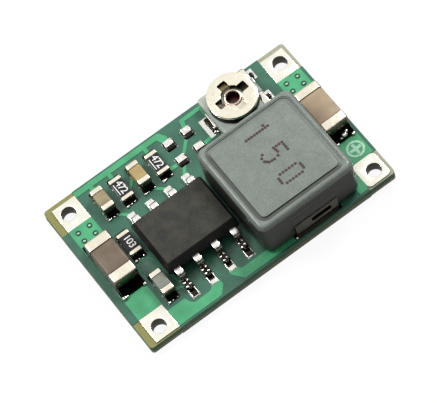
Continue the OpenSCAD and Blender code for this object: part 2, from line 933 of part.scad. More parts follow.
// Tubular rivet, spread at both ends; its upper flange keeps the rotor
module trimmer_rivet() {
    flange_z = floor_z + run_gap;
    color("antiquewhite") at_trimmer() difference() {
        union() {
            translate([0, 0, 0]) cylinder(h = flange_z + 0.08, r = rivet_r);
            translate([0, 0, flange_z]) cylinder(h = 0.08, r = rivet_flange);
        }
        translate([0, 0, -1]) cylinder(h = 4, r = rivet_bore);
    }
}

module rotor_outline(r) {
    intersection() {
        circle(r);
        translate([rotor_flat - 10, -5]) square([10, 10]);
    }
}

// Pressed rotor: a flat rim on a hub, with a round middle recess and a
// cross slot for the screwdriver
module trimmer_rotor() {
    arm = slot_reach;
    color("cornsilk") at_trimmer() difference() {
        union() {
            translate([0, 0, rotor_h - rotor_rim_t])
                linear_extrude(rotor_rim_t) rotor_outline(rotor_r);
            translate([0, 0, hub_z]) cylinder(h = rotor_h - hub_z - eps,
                                              r = rotor_hub_r);
        }
        translate([0, 0, floor_z]) {
            cylinder(h = 1, r = recess_r);
            rotate(slot_turn) linear_extrude(1) {
                square([2 * arm, slot_w], center = true);
                square([slot_w, 2 * arm], center = true);
            }
        }
        cylinder(h = 2, r = rivet_r + run_gap);
    }
}

module trimmer_solder() {
    film = top_z - land_z;
    color("whitesmoke") {
        translate([1.74, 3.05, land_z]) cube([0.86, 1.35, film]);
        translate([5.5, 4.55, land_z]) cube([0.6, 0.75, film]);
        translate([5.5, 2.75, land_z]) cube([0.6, 0.75, film]);
    }
}

// ------------------------------------------------------------- output

woven_laminate();
top_copper();
bottom_copper();
top_solder_mask();
bottom_solder_mask();
polarity_mark();
vias();
terminal_in_negative();
terminal_in_positive();
terminal_out_negative();
terminal_out_positive();
controller_body();
controller_leads();
controller_solder();
inductor_body();
inductor_switch_strap();
inductor_output_strap();
inductor_solder();
input_capacitor_body();
input_capacitor_ends();
output_capacitor_body();
output_capacitor_ends();
feedforward_capacitor_body();
feedforward_capacitor_ends();
compensation_capacitor_body();
compensation_capacitor_ends();
bootstrap_capacitor_body();
bootstrap_capacitor_ends();
upper_resistor_substrate();
upper_resistor_coat();
upper_resistor_ends();
lower_resistor_substrate();
lower_resistor_coat();
lower_resistor_ends();
enable_resistor_substrate();
enable_resistor_coat();
enable_resistor_ends();
chip_part_solder();
spare_pad_solder();
trimmer_base();
trimmer_track();
trimmer_wiper_terminal();
trimmer_end_terminals();
trimmer_rivet();
trimmer_rotor();
trimmer_solder();
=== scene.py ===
"""Dressed model of a small step-down converter board.

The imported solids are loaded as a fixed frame. Each sub-assembly below is a
class that builds its visible pieces round those solids, dresses them, and
makes them ride on the body that they belong to. Shapes are worked in
millimetres and made small when they are seated.
"""

import json
import logging
import math
from dataclasses import dataclass
from enum import Enum
from typing import Callable, Sequence

import bmesh
import bpy
from mathutils import Matrix, Vector

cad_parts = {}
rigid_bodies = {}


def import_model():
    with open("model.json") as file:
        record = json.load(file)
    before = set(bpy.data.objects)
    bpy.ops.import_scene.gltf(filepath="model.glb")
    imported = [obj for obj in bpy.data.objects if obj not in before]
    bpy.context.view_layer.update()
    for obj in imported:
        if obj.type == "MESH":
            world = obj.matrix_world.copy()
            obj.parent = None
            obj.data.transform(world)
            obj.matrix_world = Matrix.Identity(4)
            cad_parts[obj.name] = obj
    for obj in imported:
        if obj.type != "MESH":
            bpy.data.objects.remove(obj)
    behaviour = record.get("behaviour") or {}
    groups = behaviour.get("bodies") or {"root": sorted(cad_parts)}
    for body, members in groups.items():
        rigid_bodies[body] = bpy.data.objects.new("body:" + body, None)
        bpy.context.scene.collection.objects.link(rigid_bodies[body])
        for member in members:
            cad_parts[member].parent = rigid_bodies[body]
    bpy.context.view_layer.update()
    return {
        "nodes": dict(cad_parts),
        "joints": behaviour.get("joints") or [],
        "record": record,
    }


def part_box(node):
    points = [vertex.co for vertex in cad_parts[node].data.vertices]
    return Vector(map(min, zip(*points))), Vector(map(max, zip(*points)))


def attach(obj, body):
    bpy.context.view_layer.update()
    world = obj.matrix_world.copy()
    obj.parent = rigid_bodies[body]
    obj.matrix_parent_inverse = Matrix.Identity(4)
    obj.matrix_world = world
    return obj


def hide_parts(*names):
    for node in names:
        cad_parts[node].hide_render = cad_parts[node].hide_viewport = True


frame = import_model()

MM = 0.001
NEAR = 1e-4
LONG_PART = 2.0
UP = Vector((0, 0, 1))
ROUND = (1, 1, 1)
BOARD = "board"
ROTOR = "rotor"
LOG = logging.getLogger("converter")

Point = tuple[float, float, float]


def linear(code: str) -> tuple[float, float, float, float]:
    """Turns a hex colour into scene-linear RGBA.

    Args:
        code: Six hex digits, as a printer would give the colour.

    Returns:
        The colour in linear light, with full alpha.
    """
    parts = [int(code[i:i + 2], 16) / 255 for i in (0, 2, 4)]
    light = [v / 12.92 if v <= 0.04045 else ((v + 0.055) / 1.055) ** 2.4
             for v in parts]
    return (*light, 1.0)


def cad_box(node: str) -> tuple[Vector, Vector]:
    """Gives a CAD node's corners in millimetres.

    Args:
        node: Name of the node.

    Returns:
        Its lowest and its highest corner at rest.
    """
    lo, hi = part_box(node)
    return lo / MM, hi / MM


# --------------------------------------------------------------- shaders


class Signal:
    """One value in a material. Arithmetic on it adds Math nodes."""

    def __init__(self, desk: "Desk",
                 socket: bpy.types.NodeSocket) -> None:
        """Keeps the desk that owns the nodes, and the socket."""
        self.desk = desk
        self.socket = socket

    def math(self, operation: str, *values: "Signal | float") -> "Signal":
        """Adds a Math node.

        Args:
            operation: Name of the node's operation.
            values: Its inputs, in order.

        Returns:
            The node's result.
        """
        return self.desk.add("ShaderNodeMath", {"operation": operation},
                             dict(enumerate(values)))

    def __add__(self, other: "Signal | float") -> "Signal":
        """Adds."""
        return self.math("ADD", self, other)

    def __sub__(self, other: "Signal | float") -> "Signal":
        """Subtracts."""
        return self.math("SUBTRACT", self, other)

    def __mul__(self, other: "Signal | float") -> "Signal":
        """Multiplies."""
        return self.math("MULTIPLY", self, other)

    def power(self, exponent: float) -> "Signal":
        """Raises to a power."""
        return self.math("POWER", self, exponent)

    def size(self) -> "Signal":
        """Gives the absolute value."""
        return self.math("ABSOLUTE", self)

    def most(self, other: "Signal") -> "Signal":
        """Gives the larger of two values."""
        return self.math("MAXIMUM", self, other)

    def reach(self, other: "Signal") -> "Signal":
        """Gives the length of a line this long and other wide."""
        return (self.power(2.0) + other.power(2.0)).power(0.5)

    def ramp(self, low: float, high: float, to_low: float = 0.0,
             to_high: float = 1.0) -> "Signal":
        """Maps a range smoothly to another one and clamps it.

        Args:
            low: Value that gives to_low.
            high: Value that gives to_high.
            to_low: Result at low.
            to_high: Result at high.

        Returns:
            The mapped value.
        """
        return self.desk.add(
            "ShaderNodeMapRange", {"interpolation_type": "SMOOTHSTEP"},
            {0: self, 1: low, 2: high, 3: to_low, 4: to_high})


Colour = tuple[float, float, float, float]


class Desk:
    """Adds nodes to one node tree and links them."""

    def __init__(self, tree: bpy.types.NodeTree) -> None:
        """Keeps the tree, emptied."""
        self.tree = tree
        self.tree.nodes.clear()

    def add(self, kind: str, settings: dict | None = None,
            inputs: dict | None = None, output: int | str = 0) -> Signal:
        """Adds any node.

        Args:
            kind: The node's type.
            settings: Properties to set before the inputs; "stops" holds a
                ramp's positions and colours.
            inputs: Values or signals, by the input's number or name.
            output: The output to hand back.

        Returns:
            The chosen output.
        """
        node = self.tree.nodes.new(kind)
        for key, value in (settings or {}).items():
            if key == "stops":
                self.set_stops(node.color_ramp, value)
            else:
                setattr(node, key, value)
        for key, value in (inputs or {}).items():
            self.feed(node.inputs[key], value)
        return Signal(self, node.outputs[output])

    @staticmethod
    def set_stops(ramp: bpy.types.ColorRamp,
                  stops: Sequence[tuple[float, Colour]]) -> None:
        """Sets a colour ramp's stops.

        Args:
            ramp: The ramp.
            stops: Position and colour of each stop.
        """
        while len(ramp.elements) < len(stops):
            ramp.elements.new(1.0)
        for element, (position, colour) in zip(ramp.elements, stops):
            element.position = position
            element.color = colour

    def feed(self, socket: bpy.types.NodeSocket,
             value: "Signal | float | Sequence[float]") -> None:
        """Links a signal to a socket, or sets the socket's own value.

        Args:
            socket: The input to feed.
            value: A signal, or a constant of the socket's kind.
        """
        if isinstance(value, Signal):
            self.tree.links.new(value.socket, socket)
        else:
            socket.default_value = value


class ShaderDesk(Desk):
    """Builds the node tree of one material."""

    def __init__(self, name: str) -> None:
        """Starts an empty material with a Principled shader.

        Args:
            name: The material's name.
        """
        self.material = bpy.data.materials.new(name)
        self.material.use_nodes = True
        super().__init__(self.material.node_tree)
        self.shader = self.tree.nodes.new("ShaderNodeBsdfPrincipled")
        self.output = self.tree.nodes.new("ShaderNodeOutputMaterial")
        self.tree.links.new(self.shader.outputs[0], self.output.inputs[0])

    def set(self, **values: "Signal | float | Sequence[float]") -> None:
        """Sets sockets of the Principled shader, named with underscores."""
        for key, value in values.items():
            self.feed(self.shader.inputs[key.replace("_", " ")], value)

    def place(self) -> Signal:
        """Gives the place on the object.

        Returns:
            The place in millimetres.
        """
        spot = self.add("ShaderNodeTexCoord", output="Object")
        return self.add("ShaderNodeVectorMath", {"operation": "SCALE"},
                        {0: spot, "Scale": 1 / MM})

    def axes(self, place: Signal) -> tuple[Signal, Signal, Signal]:
        """Splits a place into its axes.

        Args:
            place: The place.

        Returns:
            Its X, Y and Z.
        """
        node = self.tree.nodes.new("ShaderNodeSeparateXYZ")
        self.tree.links.new(place.socket, node.inputs[0])
        return tuple(Signal(self, node.outputs[i]) for i in range(3))

    def rise(self) -> Signal:
        """Gives how much the face looks up, from -1 to 1."""
        return self.axes(self.add("ShaderNodeNewGeometry",
                                  output="Normal"))[2]

    def stretch(self, place: Signal, by: Point) -> Signal:
        """Scales a place by a different factor along each axis."""
        return self.add("ShaderNodeMapping", {}, {0: place, "Scale": by})

    def noise(self, place: Signal, scale: float, detail: float = 2.0,
              rough: float = 0.5) -> Signal:
        """Adds noise with scale cells to a millimetre."""
        return self.add("ShaderNodeTexNoise", {},
                        {"Vector": place, "Scale": scale, "Detail": detail,
                         "Roughness": rough})

    def cells(self, place: Signal, scale: float) -> Signal:
        """Adds the distance to the nearest of scattered points."""
        return self.add("ShaderNodeTexVoronoi", {},
                        {"Vector": place, "Scale": scale})

    def mix(self, factor: "Signal | float", first: "Signal | Colour",
            second: "Signal | Colour", blend: str = "MIX") -> Signal:
        """Mixes two colours.

        Args:
            factor: Share of the second colour.
            first: The first colour.
            second: The second colour.
            blend: Name of the blend type.

        Returns:
            The mixed colour.
        """
        return self.add("ShaderNodeMix",
                        {"data_type": "RGBA", "blend_type": blend},
                        {0: factor, 6: first, 7: second}, output=2)

    def relief(self, height: Signal, depth_mm: float,
               under: Signal | None = None) -> Signal:
        """Adds a bump.

        Args:
            height: Height from 0 to 1.
            depth_mm: What a height of 1 measures, in millimetres.
            under: A bump that this one lies on.

        Returns:
            The bumped normal.
        """
        inputs = {"Height": height, "Distance": depth_mm * MM}
        if under is not None:
            inputs["Normal"] = under
        return self.add("ShaderNodeBump", {}, inputs)


class Finish:
    """A surface finish. Its material is made once and shared."""

    made: dict[str, bpy.types.Material] = {}

    def paint(self, desk: ShaderDesk) -> None:
        """Adds the finish's nodes."""
        raise NotImplementedError

    def material(self) -> bpy.types.Material:
        """Gives the finish's material, made on first use.

        Returns:
            The material that all pieces with this finish share.
        """
        key = repr(self)
        if key not in self.made:
            desk = ShaderDesk(self.name)
            self.paint(desk)
            self.made[key] = desk.material
        return self.made[key]


@dataclass(frozen=True)
class Metal(Finish):
    """Tinned, soldered or plated metal.

    Attributes:
        colour: Clean metal.
        stain: Metal in darker, stained patches.
        grain: Ripples to a millimetre.
        relief_mm: Height of the ripples.
        fine_mm: Height of the finest ripples.
        stained: How strong the patches are.
        wall: Painted shade multiplied into faces that don't look up.
    """

    name: str
    colour: str
    stain: str
    roughness: float = 0.25
    grain: float = 6.0
    relief_mm: float = 0.004
    fine_mm: float = 0.0
    stained: float = 0.35
    wall: str = "ffffff"

    def paint(self, desk: ShaderDesk) -> None:
        """Mottles the metal, paints shade on walls, varies gloss, ripples its
        face.

        Args:
            desk: Where the material's nodes are made.
        """
        place = desk.place()
        broad = desk.noise(place, self.grain * 0.5, 3)
        patch = broad.ramp(0.45, 0.75, 0.0, self.stained)
        ripple = desk.noise(place, self.grain, 2)
        fine = desk.noise(place, self.grain * 7, 2)
        normal = desk.relief(ripple, self.relief_mm)
        if self.fine_mm:
            normal = desk.relief(fine, self.fine_mm, normal)
        colour = desk.mix(patch, linear(self.colour), linear(self.stain))
        # Painted shade: faces that don't look up are multiplied by the wall
        # tint.
        colour = desk.mix(desk.rise().ramp(0.3, 0.8, 1.0, 0.0), colour,
                          linear(self.wall), "MULTIPLY")
        desk.set(Base_Color=colour,
                 Metallic=1.0,
                 Roughness=fine.ramp(0.25, 0.75, self.roughness * 0.75,
                                     self.roughness * 1.3),
                 Normal=normal)


@dataclass(frozen=True)
class Speckled(Finish):
    """Moulded or pressed mass with fine light and dark grains.

    Attributes:
        side: Painted shade on faces that don't look up; on the coil it also
            holds a brown stain.
        sunk_z: Height below which a groove in the top gets painted shade.
        sunk_share: How strong that is on the groove's +X, +Y side.
        dark_share: How strong that is on its other side.
        middle: X and Y of the top's middle.
        sunk_half: How far the groove reaches from the middle.
        coat: Gloss of the top and its round edges.
    """

    name: str
    colour: str
    light: str
    dark: str
    side: str
    grain: float = 14.0
    roughness: float = 0.6
    relief_mm: float = 0.006
    sunk_z: float = 0.0
    sunk_share: float = 0.3
    dark_share: float = 0.0
    middle: tuple[float, float] = (0.0, 0.0)
    sunk_half: float = 0.0
    coat: float = 0.0

    def paint(self, desk: ShaderDesk) -> None:
        """Scatters grains, and paints shade on the walls and in the top's
        groove.

        Args:
            desk: Where the material's nodes are made.
        """
        place = desk.place()
        broad = desk.noise(place, 1.3, 3)
        fine = desk.noise(place, self.grain, 3, 0.7)
        specks = desk.cells(place, self.grain * 0.22)
        pits = desk.cells(place, self.grain * 0.6)
        colour = desk.mix(fine.ramp(0.35, 0.65), linear(self.dark),
                          linear(self.colour))
        colour = desk.mix(broad.ramp(0.3, 0.7, 0.0, 0.25), colour,
                          linear(self.light))
        colour = desk.mix(specks.ramp(0.05, 0.12, 0.75, 0.0), colour,
                          linear(self.light))
        # Painted shade: faces that don't look up are multiplied by the side
        # tint.
        painted_shade = desk.rise().ramp(0.35, 0.9, 1.0, 0.0)
        gloss = painted_shade.ramp(0.2, 0.9, self.coat, 0.0)
        # Painted shade in the groove, strongest on its -X, -Y side; walls only
        # below the top.
        if self.sunk_z:
            x, y, z = desk.axes(place)
            x, y = x - self.middle[0], y - self.middle[1]
            reach = x.size().most(y.size())
            below = z.ramp(self.sunk_z - 0.35, self.sunk_z - 0.1, 1.0, 0.0)
            sunk = (z.ramp(self.sunk_z, self.sunk_z + 0.07, 1.0, 0.0)
                    * reach.ramp(self.sunk_half, self.sunk_half + 0.03,
                                 1.0, 0.0))
            share = (x + y).ramp(-0.2, 0.2, self.dark_share,
                                 self.sunk_share)
            painted_shade = (painted_shade * below).most(sunk * share)
        colour = desk.mix(painted_shade, colour, linear(self.side), "MULTIPLY")
        rough = fine.ramp(0.3, 0.7, self.roughness + 0.08,
                          self.roughness - 0.08)
        height = fine + pits.ramp(0.05, 0.4) * 0.6
        desk.set(Base_Color=colour, Roughness=rough,
                 Coat_Weight=gloss, Coat_Roughness=0.18,
                 Normal=desk.relief(height, self.relief_mm))


@dataclass(frozen=True)
class Film(Finish):
    """Green mask: glossy, and brighter where it lies over copper.

    Attributes:
        step_low: Height of the film over laminate, in millimetres.
        step_high: Height of the film over copper.
    """

    name: str
    over_copper: str
    over_laminate: str
    step_low: float = 0.778
    step_high: float = 0.797
    coat: float = 0.15

    def paint(self, desk: ShaderDesk) -> None:
        """Tells copper from laminate by the film's height.

        Args:
            desk: Where the material's nodes are made.
        """
        place = desk.place()
        z = desk.axes(place)[2]
        raised = z.ramp(self.step_low, self.step_high)
        cloud = desk.noise(place, 0.9, 3)
        fine = desk.noise(place, 9, 2)
        colour = desk.mix(raised, linear(self.over_laminate),
                          linear(self.over_copper))
        shade = cloud.ramp(0.3, 0.7, 0.82, 1.12)
        colour = desk.add("ShaderNodeVectorMath", {"operation": "SCALE"},
                          {0: colour, "Scale": shade})
        desk.set(Base_Color=colour,
                 Roughness=fine.ramp(0.3, 0.7, 0.24, 0.36),
                 Coat_Weight=self.coat, Coat_Roughness=0.08,
                 Normal=desk.relief(desk.noise(place, 1.6, 2), 0.012))


@dataclass(frozen=True)
class GlassEpoxy(Finish):
    """Bare laminate: olive faces, and sides cut through its layers.

    Attributes:
        wall: Upper part of the sides.
        core: Lower part of the sides.
        fibre: Glass cloth that shows through.
        pale: Face at the +X end.
    """

    name: str
    face: str
    wall: str
    core: str
    fibre: str
    pale: str

    def paint(self, desk: ShaderDesk) -> None:
        """Draws the weave on the faces and the layers on the sides.

        Args:
            desk: Where the material's nodes are made.
        """
        place = desk.place()
        normal_z = desk.rise().size()
        layers = desk.noise(desk.stretch(place, (1.2, 1.2, 14)), 1.0, 3, 0.7)
        weave = desk.noise(desk.stretch(place, (9, 1.5, 1)), 1.0, 3, 0.6)
        dust = desk.noise(place, 12, 2)
        x, _, z = desk.axes(place)
        wall = desk.mix(z.ramp(0.25, 0.4, 1.0, 0.0), linear(self.wall),
                        linear(self.core))
        wall = desk.mix(layers.ramp(0.45, 0.65, 0.0, 0.35), wall,
                        linear(self.fibre))
        face = desk.mix(x.ramp(2.0, 8.0, 0.0, 0.85), linear(self.face),
                        linear(self.pale))
        face = desk.mix(weave.ramp(0.35, 0.7, 0.0, 0.3), face,
                        linear(self.fibre))
        desk.set(Base_Color=desk.mix(normal_z.ramp(0.3, 0.8), wall, face),
                 Roughness=dust.ramp(0.3, 0.7, 0.5, 0.75),
                 Normal=desk.relief(layers + dust * 0.4, 0.02))


@dataclass(frozen=True)
class Ceramic(Finish):
    """Fired ceramic with soft clouds of colour and a matt glaze.

    Attributes:
        ring_at: X and Y of a round painted shadow on the top.
        ring_r: Radius of the shadow, or 0 for none.
        ring: The shadow's colour.
    """

    name: str
    colour: str
    cloud: str
    roughness: float = 0.45
    relief_mm: float = 0.006
    ring_at: tuple[float, float] = (0.0, 0.0)
    ring_r: float = 0.0
    ring: str = "14120f"

    def paint(self, desk: ShaderDesk) -> None:
        """Clouds the colour and roughens the face a little.

        Args:
            desk: Where the material's nodes are made.
        """
        place = desk.place()
        broad = desk.noise(place, 1.6, 3)
        fine = desk.noise(place, 16, 3, 0.7)
        colour = desk.mix(broad.ramp(0.35, 0.7, 0.0, 0.8),
                          linear(self.colour), linear(self.cloud))
        colour = desk.mix(fine.ramp(0.5, 0.75, 0.0, 0.25), colour,
                          linear(self.cloud))
        # Painted shadow: the top darkens under the rotor, round ring_at.
        if self.ring_r:
            x, y, _ = desk.axes(place)
            reach = (x - self.ring_at[0]).reach(y - self.ring_at[1])
            under = (reach.ramp(self.ring_r, self.ring_r + 0.04, 1.0, 0.0)
                     * desk.rise().ramp(0.6, 0.9))
            colour = desk.mix(under, colour, linear(self.ring))
        desk.set(Base_Color=colour,
                 Roughness=fine.ramp(0.3, 0.7, self.roughness - 0.06,
                                     self.roughness + 0.1),
                 Normal=desk.relief(fine, self.relief_mm))


@dataclass(frozen=True)
class Paint(Finish):
    """Printed ink or glaze, a little thin in places."""

    name: str
    colour: str
    thin: str
    roughness: float = 0.5
    worn: float = 0.5
    grain: float = 9.0

    def paint(self, desk: ShaderDesk) -> None:
        """Lets what lies below show through in small patches.

        Args:
            desk: Where the material's nodes are made.
        """
        place = desk.place()
        wear = desk.noise(place, self.grain, 3, 0.6)
        desk.set(Base_Color=desk.mix(wear.ramp(0.45, 0.7, 0.0, self.worn),
                                     linear(self.colour),
                                     linear(self.thin)),
                 Roughness=wear.ramp(0.3, 0.7, self.roughness,
                                     self.roughness + 0.15),
                 Normal=desk.relief(wear, 0.003))


@dataclass(frozen=True)
class RivetMetal(Finish):
    """Plated rivet whose bore shows dark red flux on the walls."""

    name: str
    colour: str
    stain: str
    bore: str
    axis_x: float
    axis_y: float
    bore_r: float
    top_z: float

    def paint(self, desk: ShaderDesk) -> None:
        """Darkens the metal inside the bore, below its mouth.

        Args:
            desk: Where the material's nodes are made.
        """
        place = desk.place()
        x, y, z = desk.axes(place)
        reach = (x - self.axis_x).reach(y - self.axis_y)
        inside = (reach.ramp(self.bore_r, self.bore_r + 0.05, 1.0, 0.0)
                  * z.ramp(self.top_z - 0.14, self.top_z - 0.05, 1.0, 0.0))
        ripple = desk.noise(place, 7, 2)
        metal = desk.mix(ripple.ramp(0.5, 0.7, 0.0, 0.4),
                         linear(self.colour), linear(self.stain))
        desk.set(Base_Color=desk.mix(inside, metal, linear(self.bore)),
                 Metallic=1.0, Roughness=ripple.ramp(0.3, 0.7, 0.2, 0.35),
                 Normal=desk.relief(ripple, 0.01))


@dataclass(frozen=True)
class PressedPlate(Finish):
    """Bright plated rotor with blots on its face, tan floors, and painted
    shade in its recess and slots.
    """

    name: str
    colour: str
    stain: str
    shade: str
    tan: str
    axis_x: float
    axis_y: float
    top_z: float

    def paint(self, desk: ShaderDesk) -> None:
        """Paints shade on what lies below the face, most on its far side.

        Args:
            desk: Where the material's nodes are made.
        """
        place = desk.place()
        x, y, z = desk.axes(place)
        across, along = x - self.axis_x, y - self.axis_y
        reach = across.reach(along)
        deep = (z.ramp(self.top_z - 0.09, self.top_z - 0.03, 1.0, 0.0)
                * reach.ramp(1.2, 1.26, 1.0, 0.0))
        wall = desk.rise().size().ramp(0.3, 0.8, 1.0, 0.0)
        far = (along + across * 0.25).ramp(-0.45, 0.35, 0.25, 1.0)
        blot = desk.noise(place, 3.2, 2)
        streak = desk.noise(desk.stretch(place, (9, 2, 1)), 1.0, 3, 0.7)
        face = desk.mix(blot.ramp(0.55, 0.75, 0.0, 0.35),
                        linear(self.colour), linear(self.stain))
        face = desk.mix(streak.ramp(0.62, 0.7, 0.0, 0.3), face,
                        linear(self.tan))
        # Painted shade: the floor below the face goes from tan to shade
        # towards +X and its far side.
        east = across.ramp(0.35, 0.6)
        floor = desk.mix(east, linear(self.tan), linear(self.shade))
        floor = desk.mix(far * reach.ramp(0.6, 0.68), face, floor)
        # Dark hatching on the -X arm, and painted shade in the far pit between
        # the arms.
        hatch = (desk.noise(desk.stretch(place, (14, 5, 1)), 1.0, 2)
                 .ramp(0.46, 0.54, 1.0, 0.55)
                 * across.ramp(-0.62, -0.5, 1.0, 0.0))
        pit_shade = far.ramp(0.7, 0.9) * reach.ramp(0.72, 0.84, 0.8, 0.0)
        floor = desk.mix(hatch + pit_shade - hatch * pit_shade, floor, linear(self.shade))
        # Painted shade on the upright walls of the recess and slots.
        sunk = desk.mix(wall, floor, linear(self.shade))
        desk.set(Base_Color=desk.mix(deep, face, sunk), Metallic=1.0,
                 Roughness=streak.ramp(0.3, 0.7, 0.2, 0.28),
                 Normal=desk.relief(blot, 0.012))


LAMINATE = GlassEpoxy("bare_laminate", "8c8a48", "2a6a4a", "a8a28c",
                      "9c9878", "b0b09c")
MASK = Film("green_mask", "49ab76", "376c56")
MASK_UNDER = Film("green_mask_under", "42a26c", "37805a", -1.0, -0.5)
# Painted shade and painted highlight over each via: a dark ring and a pale
# glossy drop.
VIA_SHADE_RING = Film("via_shade_ring", "0c3a24", "08281a", -1.0, -0.5, 0.0)
VIA_HIGHLIGHT = Film("via_highlight", "a4dcc0", "8cc4a8", -1.0, -0.5, 1.0)
SPOT = Film("test_spot", "4e7662", "4e7662", -1.0, -0.5)
# Each metal's wall colour is painted shade on its faces that don't look up.
DARK_TIN = Metal("dark_tin", "d4d2c8", "8c887c", 0.34, 8.0)
COPPER = Metal("copper_foil", "c98a5a", "9a5f3a", 0.35)
LAND_TIN = Metal("land_tin", "fdfaec", "ece6d4", roughness=0.24, grain=3.0,
                 relief_mm=0.01, fine_mm=0.001, stained=0.3, wall="5a5650")
LEAD_TIN = Metal("lead_tin", "fbf8f2", "b8b2a6", roughness=0.22, grain=6.0,
                 relief_mm=0.006, fine_mm=0.001, stained=0.3,
                 wall="8a8680")
# Solder painted near black: a shaded copy of the pale solder, for dark
# surroundings its smooth faces mirror.
SOLDER_PAINTED_DARK = Metal("solder", "383631", "161513", roughness=0.12, grain=1.8,
               relief_mm=0.03, stained=0.9, wall="a8a49c")
WET_TIN = Metal("wet_tin", "f6f4ec", "a8a69e", roughness=0.2, grain=5.0,
                relief_mm=0.03, stained=0.5)
END_TIN = Metal("end_tin", "f6eeda", "d8ccb2", roughness=0.26, grain=3.0,
                relief_mm=0.02, fine_mm=0.002, stained=0.4, wall="787468")
STRAP_TIN = Metal("strap_tin", "84847c", "6a4c34", roughness=0.3, grain=1.6,
                  relief_mm=0.02, fine_mm=0.002, stained=0.8,
                  wall="a8a49c")
TRIMMER_TIN = Metal("trimmer_tin", "fbf8ee", "a8a292", roughness=0.2,
                    grain=4.0, relief_mm=0.02, fine_mm=0.001, wall="8c8a80")
FLUX = Paint("flux", "40100a", "140404", 0.2, 0.9, 7.0)
# The side colours are painted shade on the walls; the coil's groove is painted
# darker too.
CHIP_MASS = Speckled("chip_mass", "2a2b26", "5e5a46", "191a16", "4c4a48",
                     grain=16.0, roughness=0.68, relief_mm=0.008)
COIL_MASS = Speckled("coil_mass", "7d877f", "98a198", "6c766e", "666259",
                     grain=12.0, roughness=0.5, sunk_z=3.7,
                     sunk_share=0.14, dark_share=0.8,
                     middle=(3.15, -1.9), sunk_half=2.95, coat=0.45)
COIL_PRINT = Paint("coil_print", "463230", "6e5c58", 0.6, 0.5, 14.0)
BROWN_CERAMIC = Ceramic("brown_ceramic", "6d5e4b", "7c6c5c", 0.35)
TAN_CERAMIC = Ceramic("tan_ceramic", "b09a7c", "a08a70", 0.35)
SAND_CERAMIC = Ceramic("sand_ceramic", "938665", "a89a74", 0.35)
AMBER_CERAMIC = Ceramic("amber_ceramic", "bfa669", "ad9560", 0.35)
GREY_CERAMIC = Ceramic("grey_ceramic", "8a8f80", "7a7e74", 0.35)
ALUMINA = Ceramic("alumina", "dcdad4", "c4c2ba", 0.4)
GLAZE = Paint("black_glaze", "08090b", "14161a", 0.2, 0.5, 8.0)
DIGIT_INK = Paint("digit_ink", "fafaf6", "d8d8d4", 0.5, 0.4, 12.0)
BOARD_INK = Paint("board_ink", "b8e8cc", "7cc49c", 0.5, 0.7, 6.0)
# The ring is a painted shadow on the base under the rotor.
TRIMMER_CERAMIC = Ceramic("trimmer_ceramic", "bcc8bc", "a6b0a4", 0.5,
                          ring_at=(4.0, 3.8), ring_r=1.5)
CARBON = Paint("carbon_film", "201c1a", "3a3430", 0.6, 0.5, 10.0)


# ------------------------------------------------------------ mesh tools


class Kind(Enum):
    """What a selection holds."""

    VERT = "VERT"
    EDGE = "EDGE"
    FACE = "FACE"


Shape = bpy.types.Object
Test = Callable[[object], bool]


def every(element: object) -> bool:
    """Passes every element."""
    return True


def upright(edge: bmesh.types.BMEdge) -> bool:
    """Tells whether an edge runs straight up."""
    a, b = edge.verts
    return abs(a.co.z - b.co.z) > 0.9 * edge.calc_length()


def lies_at(**place: float) -> Test:
    """Makes a test for edges that lie at a given X, Y or Z.

    Args:
        place: The place along each axis that matters.

    Returns:
        The test.
    """
    return lambda edge: all(abs(getattr(vert.co, axis) - value) < NEAR
                            for vert in edge.verts
                            for axis, value in place.items())


